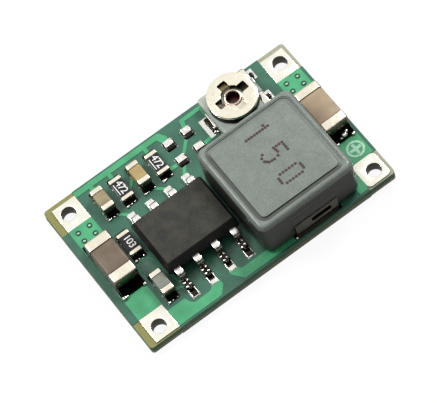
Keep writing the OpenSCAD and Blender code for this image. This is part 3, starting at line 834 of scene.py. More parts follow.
class Tools:
    """Mesh operators as a modeller uses them, worked in millimetres."""

    @staticmethod
    def pick(shape: Shape) -> None:
        """Makes one object the selected and active one.

        Args:
            shape: The object.
        """
        if bpy.context.object and bpy.context.object.mode != "OBJECT":
            bpy.ops.object.mode_set(mode="OBJECT")
        bpy.ops.object.select_all(action="DESELECT")
        shape.select_set(True)
        bpy.context.view_layer.objects.active = shape

    @staticmethod
    def added(name: str) -> Shape:
        """Names the primitive just added and applies its place.

        Args:
            name: Its name.

        Returns:
            The primitive.
        """
        shape = bpy.context.object
        shape.name = name
        bpy.ops.object.transform_apply(location=True, rotation=True,
                                       scale=True)
        return shape

    @classmethod
    def block(cls, name: str, corner: Sequence[float],
              opposite: Sequence[float]) -> Shape:
        """Adds a block.

        Args:
            name: Its name.
            corner: One corner.
            opposite: The corner across from it.

        Returns:
            The block.
        """
        pairs = list(zip(corner, opposite))
        lo = Vector([min(pair) for pair in pairs])
        hi = Vector([max(pair) for pair in pairs])
        bpy.ops.object.select_all(action="DESELECT")
        bpy.ops.mesh.primitive_cube_add(size=1, location=(lo + hi) / 2,
                                        scale=hi - lo)
        return cls.added(name)

    @classmethod
    def drum(cls, name: str, middle: Sequence[float], radius: float,
             z0: float, z1: float, sides: int = 96) -> Shape:
        """Adds an upright cylinder.

        Args:
            name: Its name.
            middle: X and Y of its axis.
            radius: Its radius.
            z0: Its foot.
            z1: Its top.
            sides: How many flats stand for the round.

        Returns:
            The cylinder.
        """
        bpy.ops.object.select_all(action="DESELECT")
        bpy.ops.mesh.primitive_cylinder_add(
            vertices=sides, radius=radius, depth=z1 - z0,
            location=(middle[0], middle[1], (z0 + z1) / 2))
        return cls.added(name)

    @classmethod
    def ball(cls, name: str, spot: Sequence[float], radius: float,
             squash: Point = ROUND, rings: int = 16) -> Shape:
        """Adds a ball, squashed about its middle.

        Args:
            name: Its name.
            spot: Its middle.
            radius: Its radius.
            squash: Its size along each axis, against a round one.
            rings: Bands of faces from pole to pole.

        Returns:
            The ball.
        """
        bpy.ops.object.select_all(action="DESELECT")
        bpy.ops.mesh.primitive_uv_sphere_add(
            segments=24, ring_count=rings, radius=radius, location=spot)
        ball = cls.added(name)
        if squash != ROUND:
            cls.resize(ball, every, squash, spot)
        return ball

    @classmethod
    def ring(cls, name: str, spot: Sequence[float], radius: float,
             wire: float, sides: tuple[int, int]) -> Shape:
        """Adds a ring of round wire that lies flat.

        Args:
            name: Its name.
            spot: Its middle.
            radius: Radius of the wire's middle line.
            wire: Radius of the wire.
            sides: Flats round the ring and round the wire.

        Returns:
            The ring.
        """
        bpy.ops.object.select_all(action="DESELECT")
        bpy.ops.mesh.primitive_torus_add(
            major_segments=sides[0], minor_segments=sides[1],
            major_radius=radius, minor_radius=wire, location=spot)
        return cls.added(name)

    @classmethod
    def open_whole(cls, shape: Shape) -> None:
        """Opens edit mode with the whole shape selected.

        Args:
            shape: The object to edit.
        """
        cls.pick(shape)
        bpy.ops.object.mode_set(mode="EDIT")
        bpy.ops.mesh.select_all(action="SELECT")

    @classmethod
    def select(cls, shape: Shape, kind: Kind, test: Test) -> int:
        """Opens edit mode and selects what passes a test.

        Args:
            shape: The object to edit.
            kind: Vertices, edges or faces.
            test: Called with each BMesh element.

        Returns:
            How many elements are selected.
        """
        cls.pick(shape)
        bpy.ops.object.mode_set(mode="EDIT")
        bpy.ops.mesh.select_mode(type=kind.value)
        bpy.ops.mesh.select_all(action="DESELECT")
        mesh = bmesh.from_edit_mesh(shape.data)
        pool = {Kind.VERT: mesh.verts, Kind.EDGE: mesh.edges,
                Kind.FACE: mesh.faces}[kind]
        chosen = [element for element in pool if test(element)]
        for element in chosen:
            element.select_set(True)
        mesh.select_flush_mode()
        bmesh.update_edit_mesh(shape.data)
        return len(chosen)

    @staticmethod
    def done() -> None:
        """Leaves edit mode."""
        bpy.ops.object.mode_set(mode="OBJECT")

    @classmethod
    def bevel(cls, shape: Shape, test: Test, width: float,
              segments: int = 3, profile: float = 0.5) -> None:
        """Rounds the edges that pass a test.

        Args:
            shape: The object.
            test: Picks the edges.
            width: How far the rounding reaches from each edge.
            segments: Flats across it.
            profile: 0.5 for round; less is more hollow.
        """
        if cls.select(shape, Kind.EDGE, test):
            bpy.ops.mesh.bevel(offset=width, segments=segments,
                               profile=profile, affect="EDGES")
        cls.done()

    @classmethod
    def resize(cls, shape: Shape, test: Test, by: Point,
               centre: Sequence[float]) -> None:
        """Scales the vertices that pass a test.

        Args:
            shape: The object.
            test: Picks the vertices.
            by: Factor along each axis.
            centre: The point that stays in place.
        """
        cls.select(shape, Kind.VERT, test)
        bpy.ops.transform.resize(value=by, center_override=tuple(centre))
        cls.done()

    @classmethod
    def modify(cls, shape: Shape, kind: str, **settings: object) -> None:
        """Adds a modifier and applies it.

        Args:
            shape: The object.
            kind: The modifier's type.
            settings: Its properties.
        """
        cls.pick(shape)
        modifier = shape.modifiers.new(kind.lower(), kind)
        for key, value in settings.items():
            setattr(modifier, key, value)
        bpy.ops.object.modifier_apply(modifier=modifier.name)

    @classmethod
    def soften(cls, shape: Shape, width: float, segments: int = 2,
               angle: float = 35.0) -> None:
        """Rounds every edge sharper than an angle."""
        cls.modify(shape, "BEVEL", width=width, segments=segments,
                   limit_method="ANGLE", angle_limit=math.radians(angle))

    @classmethod
    def cut(cls, shape: Shape, tool: Shape,
            operation: str = "DIFFERENCE") -> None:
        """Cuts with another shape, or welds it on, and clears it away.

        Args:
            shape: What is cut or added to.
            tool: The other shape.
            operation: Name of the boolean operation.
        """
        cls.modify(shape, "BOOLEAN", object=tool, operation=operation,
                   solver="EXACT")
        bpy.data.objects.remove(tool)

    @classmethod
    def join(cls, name: str, shapes: Sequence[Shape]) -> Shape:
        """Joins shapes into one object.

        Args:
            name: The object's name.
            shapes: What is joined, into the first of them.

        Returns:
            The joined object.
        """
        cls.pick(shapes[0])
        for shape in shapes[1:]:
            shape.select_set(True)
        if len(shapes) > 1:
            bpy.ops.object.join()
        shapes[0].name = name
        return shapes[0]

    @classmethod
    def copy(cls, shape: Shape, name: str,
             by: Sequence[float] = (0, 0, 0), turn: float = 0.0,
             about: Sequence[float] = (0, 0, 0)) -> Shape:
        """Copies a shape with a mesh of its own.

        Args:
            shape: What to copy.
            name: The copy's name.
            by: How far it moves, after any turn.
            turn: Angle in degrees about an upright axis.
            about: A point on that axis.

        Returns:
            The copy, with its place in its mesh.
        """
        cls.pick(shape)
        bpy.ops.object.duplicate()
        twin = bpy.context.object
        twin.name = name
        cls.open_whole(twin)
        if turn:
            bpy.ops.transform.rotate(value=-math.radians(turn),
                                     orient_axis="Z",
                                     center_override=tuple(about))
        if Vector(by).length:
            bpy.ops.transform.translate(value=tuple(by))
        cls.done()
        return twin

    @classmethod
    def from_cad(cls, node: str, name: str) -> Shape:
        """Copies a CAD node's mesh with joined faces.

        Args:
            node: The CAD node, which is left as it is.
            name: The copy's name.

        Returns:
            The copy, in millimetres.
        """
        source = frame["nodes"][node]
        cls.pick(source)
        bpy.ops.object.duplicate()
        twin = bpy.context.object
        twin.name = name
        bpy.ops.object.parent_clear(type="CLEAR_KEEP_TRANSFORM")
        twin.scale = (1 / MM,) * 3
        bpy.ops.object.transform_apply(location=True, rotation=True,
                                       scale=True)
        cls.open_whole(twin)
        bpy.ops.mesh.remove_doubles(threshold=0.0015)
        bpy.ops.mesh.dissolve_limited(angle_limit=math.radians(1.5))
        cls.done()
        return twin

    @classmethod
    def remesh(cls, shape: Shape, voxel: float, smooth: int,
               ripple: float = 0.0) -> None:
        """Melts a shape into one soft skin.

        Args:
            shape: The joined rough shapes.
            voxel: Size of the cells.
            smooth: Rounds of smoothing.
            ripple: Height of uneven waves, in millimetres.
        """
        cls.modify(shape, "REMESH", mode="VOXEL", voxel_size=voxel)
        cls.modify(shape, "SMOOTH", factor=0.5, iterations=smooth)
        if ripple:
            cloud = bpy.data.textures.new("ripple", "CLOUDS")
            cloud.noise_scale = voxel * 14
            cls.modify(shape, "DISPLACE", texture=cloud, strength=ripple,
                       mid_level=0.5, texture_coords="LOCAL")

    @classmethod
    def seat(cls, shape: Shape, slot: str, finish: Finish,
             replaces: Sequence[str] = (), body: str = BOARD,
             smooth: float = 40.0) -> Shape:
        """Closes, shrinks and dresses a finished piece, and lets it ride.

        Args:
            shape: The piece, in millimetres.
            slot: Name of the record's material slot; not used.
            finish: What it is dressed in.
            replaces: CAD nodes that it stands for.
            body: The CAD body that it moves with.
            smooth: Angle below which edges are shaded smooth.

        Returns:
            The piece.
        """
        cls.open_whole(shape)
        bpy.ops.mesh.remove_doubles(threshold=0.0004)
        bpy.ops.mesh.normals_make_consistent(inside=False)
        cls.done()
        shape.scale = (MM,) * 3
        bpy.ops.object.transform_apply(location=True, rotation=True,
                                       scale=True)
        bpy.ops.object.shade_smooth_by_angle(angle=math.radians(smooth))
        shape.data.materials.clear()
        shape.data.materials.append(finish.material())
        if replaces:
            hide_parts(*replaces)
        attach(shape, body)
        LOG.info("%s: %d faces", shape.name, len(shape.data.polygons))
        return shape


def folded_strip(name: str, width: float,
                 path: Sequence[tuple[float, float]], bend: float,
                 thickness: float) -> Shape:
    """Folds a strip of sheet metal, as wide as width along X.

    Args:
        name: Name of the strip.
        width: Width along X.
        path: Y and Z of each fold of its middle layer; the first leg is
            level.
        bend: Radius-like offset of each fold.
        thickness: Thickness of the sheet.

    Returns:
        The strip, round X = 0.
    """
    (y0, z0), (y1, _) = path[:2]
    bpy.ops.object.select_all(action="DESELECT")
    bpy.ops.mesh.primitive_plane_add(
        size=1, location=(0, (y0 + y1) / 2, z0))
    strip = bpy.context.object
    strip.scale = (width, abs(y1 - y0), 1)
    Tools.added(name)
    for (ya, za), (yb, zb) in zip(path[1:], path[2:]):
        Tools.select(strip, Kind.EDGE, lies_at(y=ya, z=za))
        bpy.ops.mesh.extrude_region_move(
            TRANSFORM_OT_translate={"value": (0, yb - ya, zb - za)})
        Tools.done()
    Tools.bevel(strip, lambda edge: len(edge.link_faces) == 2, bend, 5)
    Tools.modify(strip, "SOLIDIFY", thickness=thickness, offset=0,
                 use_even_offset=True)
    return strip


def scatter_beads(name: str, beads: Sequence[tuple[Point, float]],
                  squash: Point) -> None:
    """Leaves small bright balls of solder.

    Args:
        name: Name of the piece that holds them.
        beads: Middle and radius of each.
        squash: Their size along each axis, against round ones.
    """
    balls = [Tools.ball("bead", spot, radius, squash)
             for spot, radius in beads]
    Tools.seat(Tools.join(name, balls), "solder", WET_TIN)


def dress(node: str, finish: Finish) -> None:
    """Gives a CAD node that stays in view its finish.

    Args:
        node: The CAD node.
        finish: What it is dressed in.
    """
    shape = frame["nodes"][node]
    if not shape.material_slots:
        shape.data.materials.append(finish.material())
    for slot in shape.material_slots:
        slot.material = finish.material()
    LOG.info("%s: dressed in %s", node, finish.name)


# ------------------------------------------------------------------ board


@dataclass
class BareBoard:
    """Laminate, copper, mask, print and a painted shade ring and highlight
    over each via.
    """

    via_dx: float = 0.78
    via_dy: float = 0.62
    groups: tuple[tuple[float, float], ...] = ((-7.26, 2.75), (7.5, 2.77))
    tent_z: float = 0.07
    rim_r: float = 0.13
    rim_wire: float = 0.045
    drop_r: float = 0.075
    step_soft: float = 0.018
    spot_at: tuple[float, float] = (-5.78, -1.15)
    spot_r: float = 0.48
    spot_z: tuple[float, float] = (0.79, 0.803)

    def build(self) -> None:
        """Dresses the layers that the CAD already shapes."""
        for node, finish in (("woven_laminate", LAMINATE),
                             ("top_copper", DARK_TIN),
                             ("bottom_copper", COPPER), ("vias", COPPER),
                             ("bottom_solder_mask", MASK_UNDER),
                             ("polarity_mark", BOARD_INK),
                             ("trimmer_track", CARBON)):
            dress(node, finish)
        self.mask()
        self.tents()
        self.test_spot()

    def mask(self) -> None:
        """Rounds the steps where the mask runs off the copper."""
        mask = Tools.from_cad("top_solder_mask", "top_mask")
        Tools.soften(mask, self.step_soft, 3, 50)
        Tools.seat(mask, "solder_mask", MASK, ["top_solder_mask"],
                   smooth=5)

    def tents(self) -> None:
        """Sets a sunk ring of painted shade and a glossy drop of painted
        highlight over each via.
        """
        top = cad_box("woven_laminate")[1].z + self.tent_z
        spots = [(x + sx * self.via_dx, y + sy * self.via_dy, top)
                 for x, y in self.groups
                 for sx in (-0.5, 0.5) for sy in (-0.5, 0.5)]
        shade_rings, highlight_drops = [], []
        for spot in spots:
            rim = Tools.ring("rim", spot, self.rim_r, self.rim_wire,
                             (40, 8))
            Tools.resize(rim, every, (1, 1, 0.3), spot)
            shade_rings.append(rim)
            highlight_drops.append(Tools.ball("drop", spot, self.drop_r,
                                    (1, 1, 0.45), 12))
        Tools.seat(Tools.join("via_rims", shade_rings), "solder_mask", VIA_SHADE_RING)
        Tools.seat(Tools.join("via_drops", highlight_drops), "solder_mask", VIA_HIGHLIGHT)

    def test_spot(self) -> None:
        """Lays a thin round spot of mask over the bare laminate."""
        z0, z1 = self.spot_z
        spot = Tools.drum("test_spot", self.spot_at, self.spot_r, z0, z1,
                          64)
        Tools.bevel(spot, lies_at(z=z1), 0.004, 2)
        Tools.seat(spot, "solder_mask", SPOT)


@dataclass
class CornerTerminals:
    """The four plated lands with their through holes."""

    hole_r: float = 0.45
    wall_r: float = 0.51
    land_t: float = 0.07
    edge_r: float = 0.02
    rounded: str = "out_positive"
    corner_r: float = 0.3

    def build(self) -> None:
        """Builds each land in its CAD box and drills it."""
        for mount in frame["record"]["mounts"]:
            if mount["kind"] == "bore":
                side = mount["name"].removesuffix("_hole")
                self.land(side, Vector(mount["pos_m"]) / MM)

    def land(self, side: str, hole: Vector) -> None:
        """Builds one land.

        Args:
            side: Which terminal it is.
            hole: Middle of its hole.
        """
        node = f"terminal_{side}"
        lo, hi = cad_box(node)
        top = Tools.block(f"land_{side}", (lo.x, lo.y, hi.z - self.land_t),
                          hi)
        foot = Tools.block("foot", lo, (hi.x, hi.y, lo.z + self.land_t))
        if side == self.rounded:
            for part in (top, foot):
                Tools.bevel(part, upright, self.corner_r, 6)
        barrel = Tools.drum("barrel", hole, self.wall_r, lo.z + 0.01,
                            hi.z - 0.01, 64)
        edge = Tools.block("edge", (lo.x, lo.y, lo.z + 0.01),
                           (hi.x, hi.y, hi.z - 0.01))
        Tools.cut(barrel, edge, "INTERSECT")
        Tools.cut(top, barrel, "UNION")
        Tools.cut(top, foot, "UNION")
        Tools.cut(top, Tools.drum("bit", hole, self.hole_r, -1, 2, 64))
        Tools.soften(top, self.edge_r, 3)
        Tools.seat(top, "tinned_land", LAND_TIN, [node])


# ------------------------------------------------------------- controller


@dataclass
class Controller:
    """Eight-lead chip: moulded body, gull-wing leads and their solder."""

    draft_x: float = 0.21
    draft_y: float = 0.28
    edge_r: float = 0.045
    lead_w: float = 0.42
    lead_t: float = 0.2
    pitch: float = 1.27
    stub: float = 0.25
    bend: float = 0.14
    foot: float = 0.55
    land_w: float = 0.5
    film_t: float = 0.05
    film_r: float = 0.2
    cover: float = 0.035
    shy: float = -0.06
    bare: tuple[float, ...] = (0.08, 0.3, 0.3, 0.1)
    bead_r: float = 0.085
    beads: tuple[tuple[float, float], ...] = (
        (-0.12, 0.4), (0.11, 0.28), (-0.11, 0.86), (0.12, 0.74))

    def build(self) -> None:
        """Builds the body, the leads and the solder."""
        self.lo, self.hi = cad_box("controller_body")
        self.leads_lo, self.leads_hi = cad_box("controller_leads")
        self.body()
        self.leads()
        self.solder()

    def body(self) -> None:
        """Shapes the body from a block that is split at its middle."""
        lo, hi = self.lo, self.hi
        centre = (lo + hi) / 2
        body = Tools.block("chip_body", lo, hi)
        Tools.open_whole(body)
        bpy.ops.mesh.bisect(plane_co=centre, plane_no=UP)
        Tools.done()
        size = hi - lo
        for z in (lo.z, hi.z):
            Tools.resize(body, lambda vert: abs(vert.co.z - z) < 1e-3,
                         ((size.x - 2 * self.draft_x) / size.x,
                          (size.y - 2 * self.draft_y) / size.y, 1),
                         (centre.x, centre.y, z))
        Tools.soften(body, self.edge_r, 3, 30)
        Tools.seat(body, "chip_epoxy", CHIP_MASS, ["controller_body"])

    def lead_places(self) -> list[tuple[float, int]]:
        """Lists where the leads are.

        Returns:
            X and side (1 north, -1 south) of each lead.
        """
        middle = (self.lo.x + self.hi.x) / 2
        return [(middle + (i - 1.5) * self.pitch, side)
                for side in (1, -1) for i in range(4)]

    def leads(self) -> None:
        """Folds one lead and copies it to all eight places."""
        lo, hi = self.leads_lo, self.leads_hi
        wall = self.hi.y
        mid = (self.lo.z + self.hi.z) / 2
        fall = hi.y - self.foot - self.lead_t / 2 - 0.02
        z_foot = lo.z + self.lead_t / 2
        lead = folded_strip("lead", self.lead_w,
                            [(wall - self.stub, mid), (fall, mid),
                             (fall + 0.06, z_foot), (hi.y, z_foot)],
                            self.bend, self.lead_t)
        Tools.soften(lead, 0.025, 2, 50)
        centre = (0, (self.lo.y + self.hi.y) / 2, 0)
        row = []
        for x, side in self.lead_places():
            turn = 0 if side > 0 else 180
            row.append(Tools.copy(lead, "lead_copy", (x, 0, 0), turn,
                                  centre))
        bpy.data.objects.remove(lead)
        leads = Tools.join("chip_leads", row)
        Tools.seat(leads, "lead_tin", LEAD_TIN, ["controller_leads"])

    def solder(self) -> None:
        """Wets each land and melts lumpy solder over its foot, the south lumps
        painted near black as shade.
        """
        lo, hi = cad_box("controller_solder")
        films, bright, dark = [], [], []
        for index, (x, side) in enumerate(self.lead_places()):
            toe = self.leads_hi.y if side > 0 else self.leads_lo.y
            end = hi.y if side > 0 else lo.y
            heel = toe - side * (self.foot + 0.1)
            films.append(self.film(x, heel - side * 0.2, end, lo.z))
            # North lumps stay pale; south lumps are painted near black as
            # shade, with pale beads for glints.
            if side > 0:
                bright.append(self.lump(x, heel, toe, end + self.shy, lo.z,
                                        self.shy))
                continue
            rim = end + self.bare[index - 4]
            dark.append(self.lump(x, heel, toe, rim, lo.z, self.cover))
            top = self.leads_lo.z + self.lead_t + 0.03
            for across, share in self.beads:
                spot = (x + across, heel + (toe - heel) * share, top)
                bright.append(Tools.ball("bead", spot, self.bead_r,
                                         (1, 1, 0.45)))
        Tools.seat(Tools.join("chip_films", films + bright), "solder",
                   WET_TIN, ["controller_solder"], smooth=60)
        Tools.seat(Tools.join("chip_solder", dark), "solder", SOLDER_PAINTED_DARK,
                   smooth=80)

    def film(self, x: float, heel: float, end: float, z0: float) -> Shape:
        """Wets one land, with round corners at its toe.

        Args:
            x: Middle of the land.
            heel: Where the film starts along Y.
            end: Where it ends.
            z0: Top of the land.

        Returns:
            The film, still in millimetres.
        """
        half, z1 = self.land_w / 2, z0 + self.film_t
        film = Tools.block("film", (x - half, heel, z0), (x + half, end, z1))
        at_toe = lies_at(y=end)
        Tools.bevel(film, lambda edge: upright(edge) and at_toe(edge),
                    self.film_r, 5)
        Tools.bevel(film, lies_at(z=z1), 0.035, 3)
        return film

    def lump(self, x: float, heel: float, toe: float, rim: float,
             z0: float, cover: float) -> Shape:
        """Melts the solder of one foot.

        Args:
            x: Middle of the foot.
            heel: Where the solder starts along Y.
            toe: Where the foot ends.
            rim: Where the solder ends.
            z0: Top of the land.
            cover: Height of the solder over the foot.

        Returns:
            The lump, still in millimetres.
        """
        half = self.lead_w / 2
        top = self.leads_lo.z + self.lead_t
        side = 1 if rim > toe else -1
        wide = half + 0.03
        parts = [Tools.block("sole", (x - wide, heel, z0),
                             (x + wide, toe, top + cover)),
                 Tools.block("apron", (x - half + 0.02, toe, z0),
                             (x + half - 0.02, rim, z0 + 0.1))]
        if cover > 0:
            spot = (x, toe + side * 0.06, top - 0.13)
            parts.append(Tools.ball("bead", spot, 0.19))
        lump = Tools.join("lump", parts)
        Tools.remesh(lump, 0.02, 4)
        return lump


# --------------------------------------------------------------- inductor


class Glyph(Enum):
    """Corner points of digits on a field 4 wide and 8 tall."""

    ONE = ((0.9, 6.9), (2, 8), (2, 0))
    FIVE = ((3.8, 8), (0.5, 8), (0.4, 4.9), (2.4, 5.2), (3.6, 4.5),
            (4, 3), (3.8, 1.2), (2.6, 0.1), (1.2, 0.1), (0.2, 0.9))
    ZERO = ((1, 0), (3, 0), (4, 1.2), (4, 6.8), (3, 8), (1, 8), (0, 6.8),
            (0, 1.2), (1, 0))

    def dots(self, pitch: float) -> list[Vector]:
        """Spaces dots evenly along the strokes.

        Args:
            pitch: Rough distance between dots on the field.

        Returns:
            The dots' middles.
        """
        ends = [Vector((x * 1.0, y * 1.0)) for x, y in self.value]
        spots = [ends[0]]
        for start, end in zip(ends, ends[1:]):
            count = max(1, round((end - start).length / pitch))
            spots += [start.lerp(end, (i + 1) / count)
                      for i in range(count)]
        closed = (spots[0] - spots[-1]).length < 1e-3
        return spots[:-1] if closed else spots


@dataclass
class Inductor:
    """Moulded power inductor with two folded terminal straps."""

    corner_r: float = 0.5
    edge_r: float = 0.28
    foot_c: float = 0.3
    groove_side: float = 5.55
    groove_w: float = 0.26
    groove_d: float = 0.1
    groove_r: float = 0.42
    lip_r: float = 0.035
    outer_lip: float = 0.07
    shelf_d: float = 0.04
    skin: float = 0.005
    rib_t: float = 0.06
    rib_z: tuple[float, float] = (1.1, 2.15)
    rib_flare: float = 0.18
    digit_l: float = 1.5
    digit_w: float = 0.68
    dot_r: float = 0.095
    dot_pitch: float = 1.05
    strap_w: float = 2.9
    strap_t: float = 0.14
    strap_x: float = 3.3
    strap_h: float = 1.3
    seat_d: float = 0.16
    window: tuple[tuple[float, float], ...] = ((-0.34, 0.52), (0.95, 1.0))
    value_x: float = 0.2
    value: tuple[tuple[Glyph, float], ...] = (
        (Glyph.ONE, 0.0), (Glyph.FIVE, -1.62), (Glyph.ZERO, -3.28))
    beads: tuple[Point, ...] = (
        (1.78, -1, 0.09), (1.95, -1, 0.05), (4.68, -1, 0.07),
        (2.1, 1, 0.07))

    def build(self) -> None:
        """Builds the body, the straps, the print and the solder."""
        lo, hi = cad_box("inductor_body")
        self.lo = Vector((lo.x, lo.y + self.rib_t, lo.z))
        self.hi = Vector((hi.x, hi.y - self.rib_t, hi.z - self.skin))
        self.body()
        self.straps(cad_box("inductor_switch_strap")[0].y)
        self.marking()
        self.solder()

    def frame_block(self, name: str, side: float, radius: float,
                    z0: float, z1: float) -> Shape:
        """Makes a square block with rounded upright corners.

        Args:
            name: Its name.
            side: Length of a side.
            radius: Radius of the corners.
            z0: Its foot.
            z1: Its top.

        Returns:
            The block, round the body's middle.
        """
        centre = (self.lo + self.hi) / 2
        half = side / 2
        block = Tools.block(name, (centre.x - half, centre.y - half, z0),
                            (centre.x + half, centre.y + half, z1))
        Tools.bevel(block, upright, radius, 8)
        return block

    def trench(self, body: Shape, inner: float, outer: float,
               depth: float) -> None:
        """Cuts a square ring into the top.

        Args:
            body: What is cut.
            inner: How much the ring's inner square outgrows the groove's.
            outer: How much its outer square outgrows the groove's.
            depth: How deep it is cut.
        """
        floor = self.hi.z - depth
        ring, core = [
            self.frame_block(name, self.groove_side + grown,
                             self.groove_r + grown / 2, z0, z1)
            for name, grown, z0, z1 in (
                ("ring", outer, floor, self.hi.z + 1),
                ("core", inner, floor - 1, self.hi.z + 2))]
        Tools.cut(ring, core)
        Tools.cut(body, ring)

    def body(self) -> None:
        """Rounds a block, cuts the groove and seats the straps in it."""
        lo, hi = self.lo, self.hi
        body = Tools.block("inductor_block", lo, hi)
        Tools.bevel(body, upright, self.corner_r, 10)
        Tools.bevel(body, lies_at(z=lo.z), self.foot_c, 1)
        Tools.bevel(body, lies_at(z=hi.z), self.edge_r, 7)
        for side in (-1, 1):
            Tools.cut(body, self.rib(side), "UNION")
        self.trench(body, -self.groove_w, self.groove_w, self.groove_d)
        self.trench(body, 0, self.groove_w + 2 * self.outer_lip,
                    self.shelf_d)
        half = self.strap_w / 2
        for side in (-1, 1):
            wall = lo.y if side < 0 else hi.y
            Tools.cut(body, Tools.block(
                "strap_seat",
                (self.strap_x - half, wall - side * self.seat_d, lo.z - 1),
                (self.strap_x + half, wall + side, lo.z + self.strap_h)))
        Tools.soften(body, self.lip_r, 3, 32)
        Tools.seat(body, "inductor_moulding", COIL_MASS, ["inductor_body"],
                   smooth=35)

    def rib(self, side: int) -> Shape:
        """Makes the flared rib over a strap on one wall.

        Args:
            side: 1 for the north wall, -1 for the south one.

        Returns:
            The rib.
        """
        wall = self.lo.y if side < 0 else self.hi.y
        face = wall + side * self.rib_t
        z0, z1 = self.lo.z + self.rib_z[0], self.lo.z + self.rib_z[1]
        half = self.strap_w / 2 + 0.02
        rib = Tools.block("rib",
                          (self.strap_x - half, wall - side * 0.3, z0),
                          (self.strap_x + half, face, z1))
        Tools.resize(rib, lambda vert: vert.co.z > z1 - 0.15,
                     ((half + self.rib_flare) / half, 1, 1),
                     (self.strap_x, 0, 0))
        Tools.bevel(rib, lies_at(y=face, z=z1), 0.055, 2)
        return rib

    def straps(self, outer: float) -> None:
        """Folds a strap, opens its window and sets it on both walls.

        Args:
            outer: Y of the south strap's outer face.
        """
        half_t = self.strap_t / 2
        y_out, z0 = outer + half_t, self.lo.z
        top = z0 + self.strap_h - half_t
        strap = folded_strip(
            "strap", self.strap_w,
            [(y_out + 0.5, top), (y_out, top), (y_out, z0 + half_t),
             (y_out + 1.2, z0 + half_t)], 0.16, self.strap_t)
        (x0, low), (x1, high) = self.window
        window = Tools.block("window", (x0, y_out - 1, z0 + low),
                             (x1, y_out + 0.3, z0 + high))
        Tools.cut(strap, window)
        Tools.soften(strap, 0.025, 2, 50)
        centre = (0, (self.lo.y + self.hi.y) / 2, 0)
        pair = {"inductor_switch_strap": 0, "inductor_output_strap": 180}
        for node, turn in pair.items():
            copy = Tools.copy(strap, node.removeprefix("inductor_"),
                              (self.strap_x, 0, 0), turn, centre)
            Tools.seat(copy, "strap_tin", STRAP_TIN, [node])
        bpy.data.objects.remove(strap)

    def marking(self) -> None:
        """Stamps the dotted value, read from north to south."""
        top = self.hi.z
        dot = Tools.drum("dot", (0, 0), self.dot_r, top - 0.004,
                         top + self.skin - 0.001, 10)
        centre = (self.lo + self.hi) / 2
        dots = []
        for glyph, y in self.value:
            for spot in glyph.dots(self.dot_pitch):
                across = (2 - spot.x) * self.digit_w / 4
                along = (spot.y / 8 - 0.5) * self.digit_l
                dots.append(Tools.copy(
                    dot, "dot_copy",
                    (centre.x + self.value_x + along, y + across, 0)))
        bpy.data.objects.remove(dot)
        mark = Tools.join("inductor_value", dots)
        Tools.seat(mark, "ink", COIL_PRINT)

    def solder(self) -> None:
        """Melts a fillet in front of each strap, in solder painted near black
        as shade.
        """
        lo, hi = cad_box("inductor_solder")
        row = []
        for side in (-1, 1):
            wall = self.lo.y - 0.14 if side < 0 else self.hi.y + 0.14
            end = lo.y if side < 0 else hi.y
            film = Tools.block("film", (lo.x, end, lo.z),
                               (hi.x, wall - side * 1.1, lo.z + 0.05))
            top = lo.z + 0.3
            rise = Tools.block("rise", (lo.x + 0.15, wall, lo.z),
                               (hi.x - 0.15, end, top))
            Tools.bevel(rise, lies_at(y=end, z=top), 0.2, 5, 0.2)
            blob = Tools.join("blob", [film, rise])
            Tools.remesh(blob, 0.03, 4, 0.03)
            row.append(blob)
        solder = Tools.join("strap_solder", row)
        Tools.seat(solder, "solder", SOLDER_PAINTED_DARK, ["inductor_solder"], smooth=80)
        beads = []
        for x, side, radius in self.beads:
            end = lo.y if side < 0 else hi.y
            beads.append(((x, end - side * 0.09, lo.z + 0.1), radius))
        scatter_beads("strap_beads", beads, (1, 1, 0.6))


# ------------------------------------------------------------- chip parts


@dataclass
class ChipPart:
    """A part with an end cap at both ends, lying along Y."""

    name: str
    slot: str
    finish: Finish
    cap: float
    solder_rise: float
    edge_r: float = 0.1

    def build(self) -> Shape:
        """Builds the part.

        Returns:
            Its solder, still in millimetres.
        """
        body_lo, body_hi = cad_box(f"{self.name}_body")
        ends_lo, ends_hi = cad_box(f"{self.name}_ends")
        body = Tools.block(f"{self.name}_block", body_lo, body_hi)
        Tools.soften(body, self.edge_r - 0.02, 4)
        Tools.seat(body, self.slot, self.finish, [f"{self.name}_body"])
        ends = []
        for outer, inner in ((ends_lo.y, ends_lo.y + self.cap),
                             (ends_hi.y, ends_hi.y - self.cap)):
            end = Tools.block("end", (ends_lo.x, outer, ends_lo.z),
                              (ends_hi.x, inner, ends_hi.z))
            seam = lies_at(y=inner)
            Tools.bevel(end, lambda edge: not seam(edge), self.edge_r, 5)
            ends.append(end)
        caps = Tools.join(f"{self.name}_caps", ends)
        Tools.seat(caps, "end_cap_tin", END_TIN, [f"{self.name}_ends"])
        return end_solder(ends_lo, ends_hi, self.solder_rise)


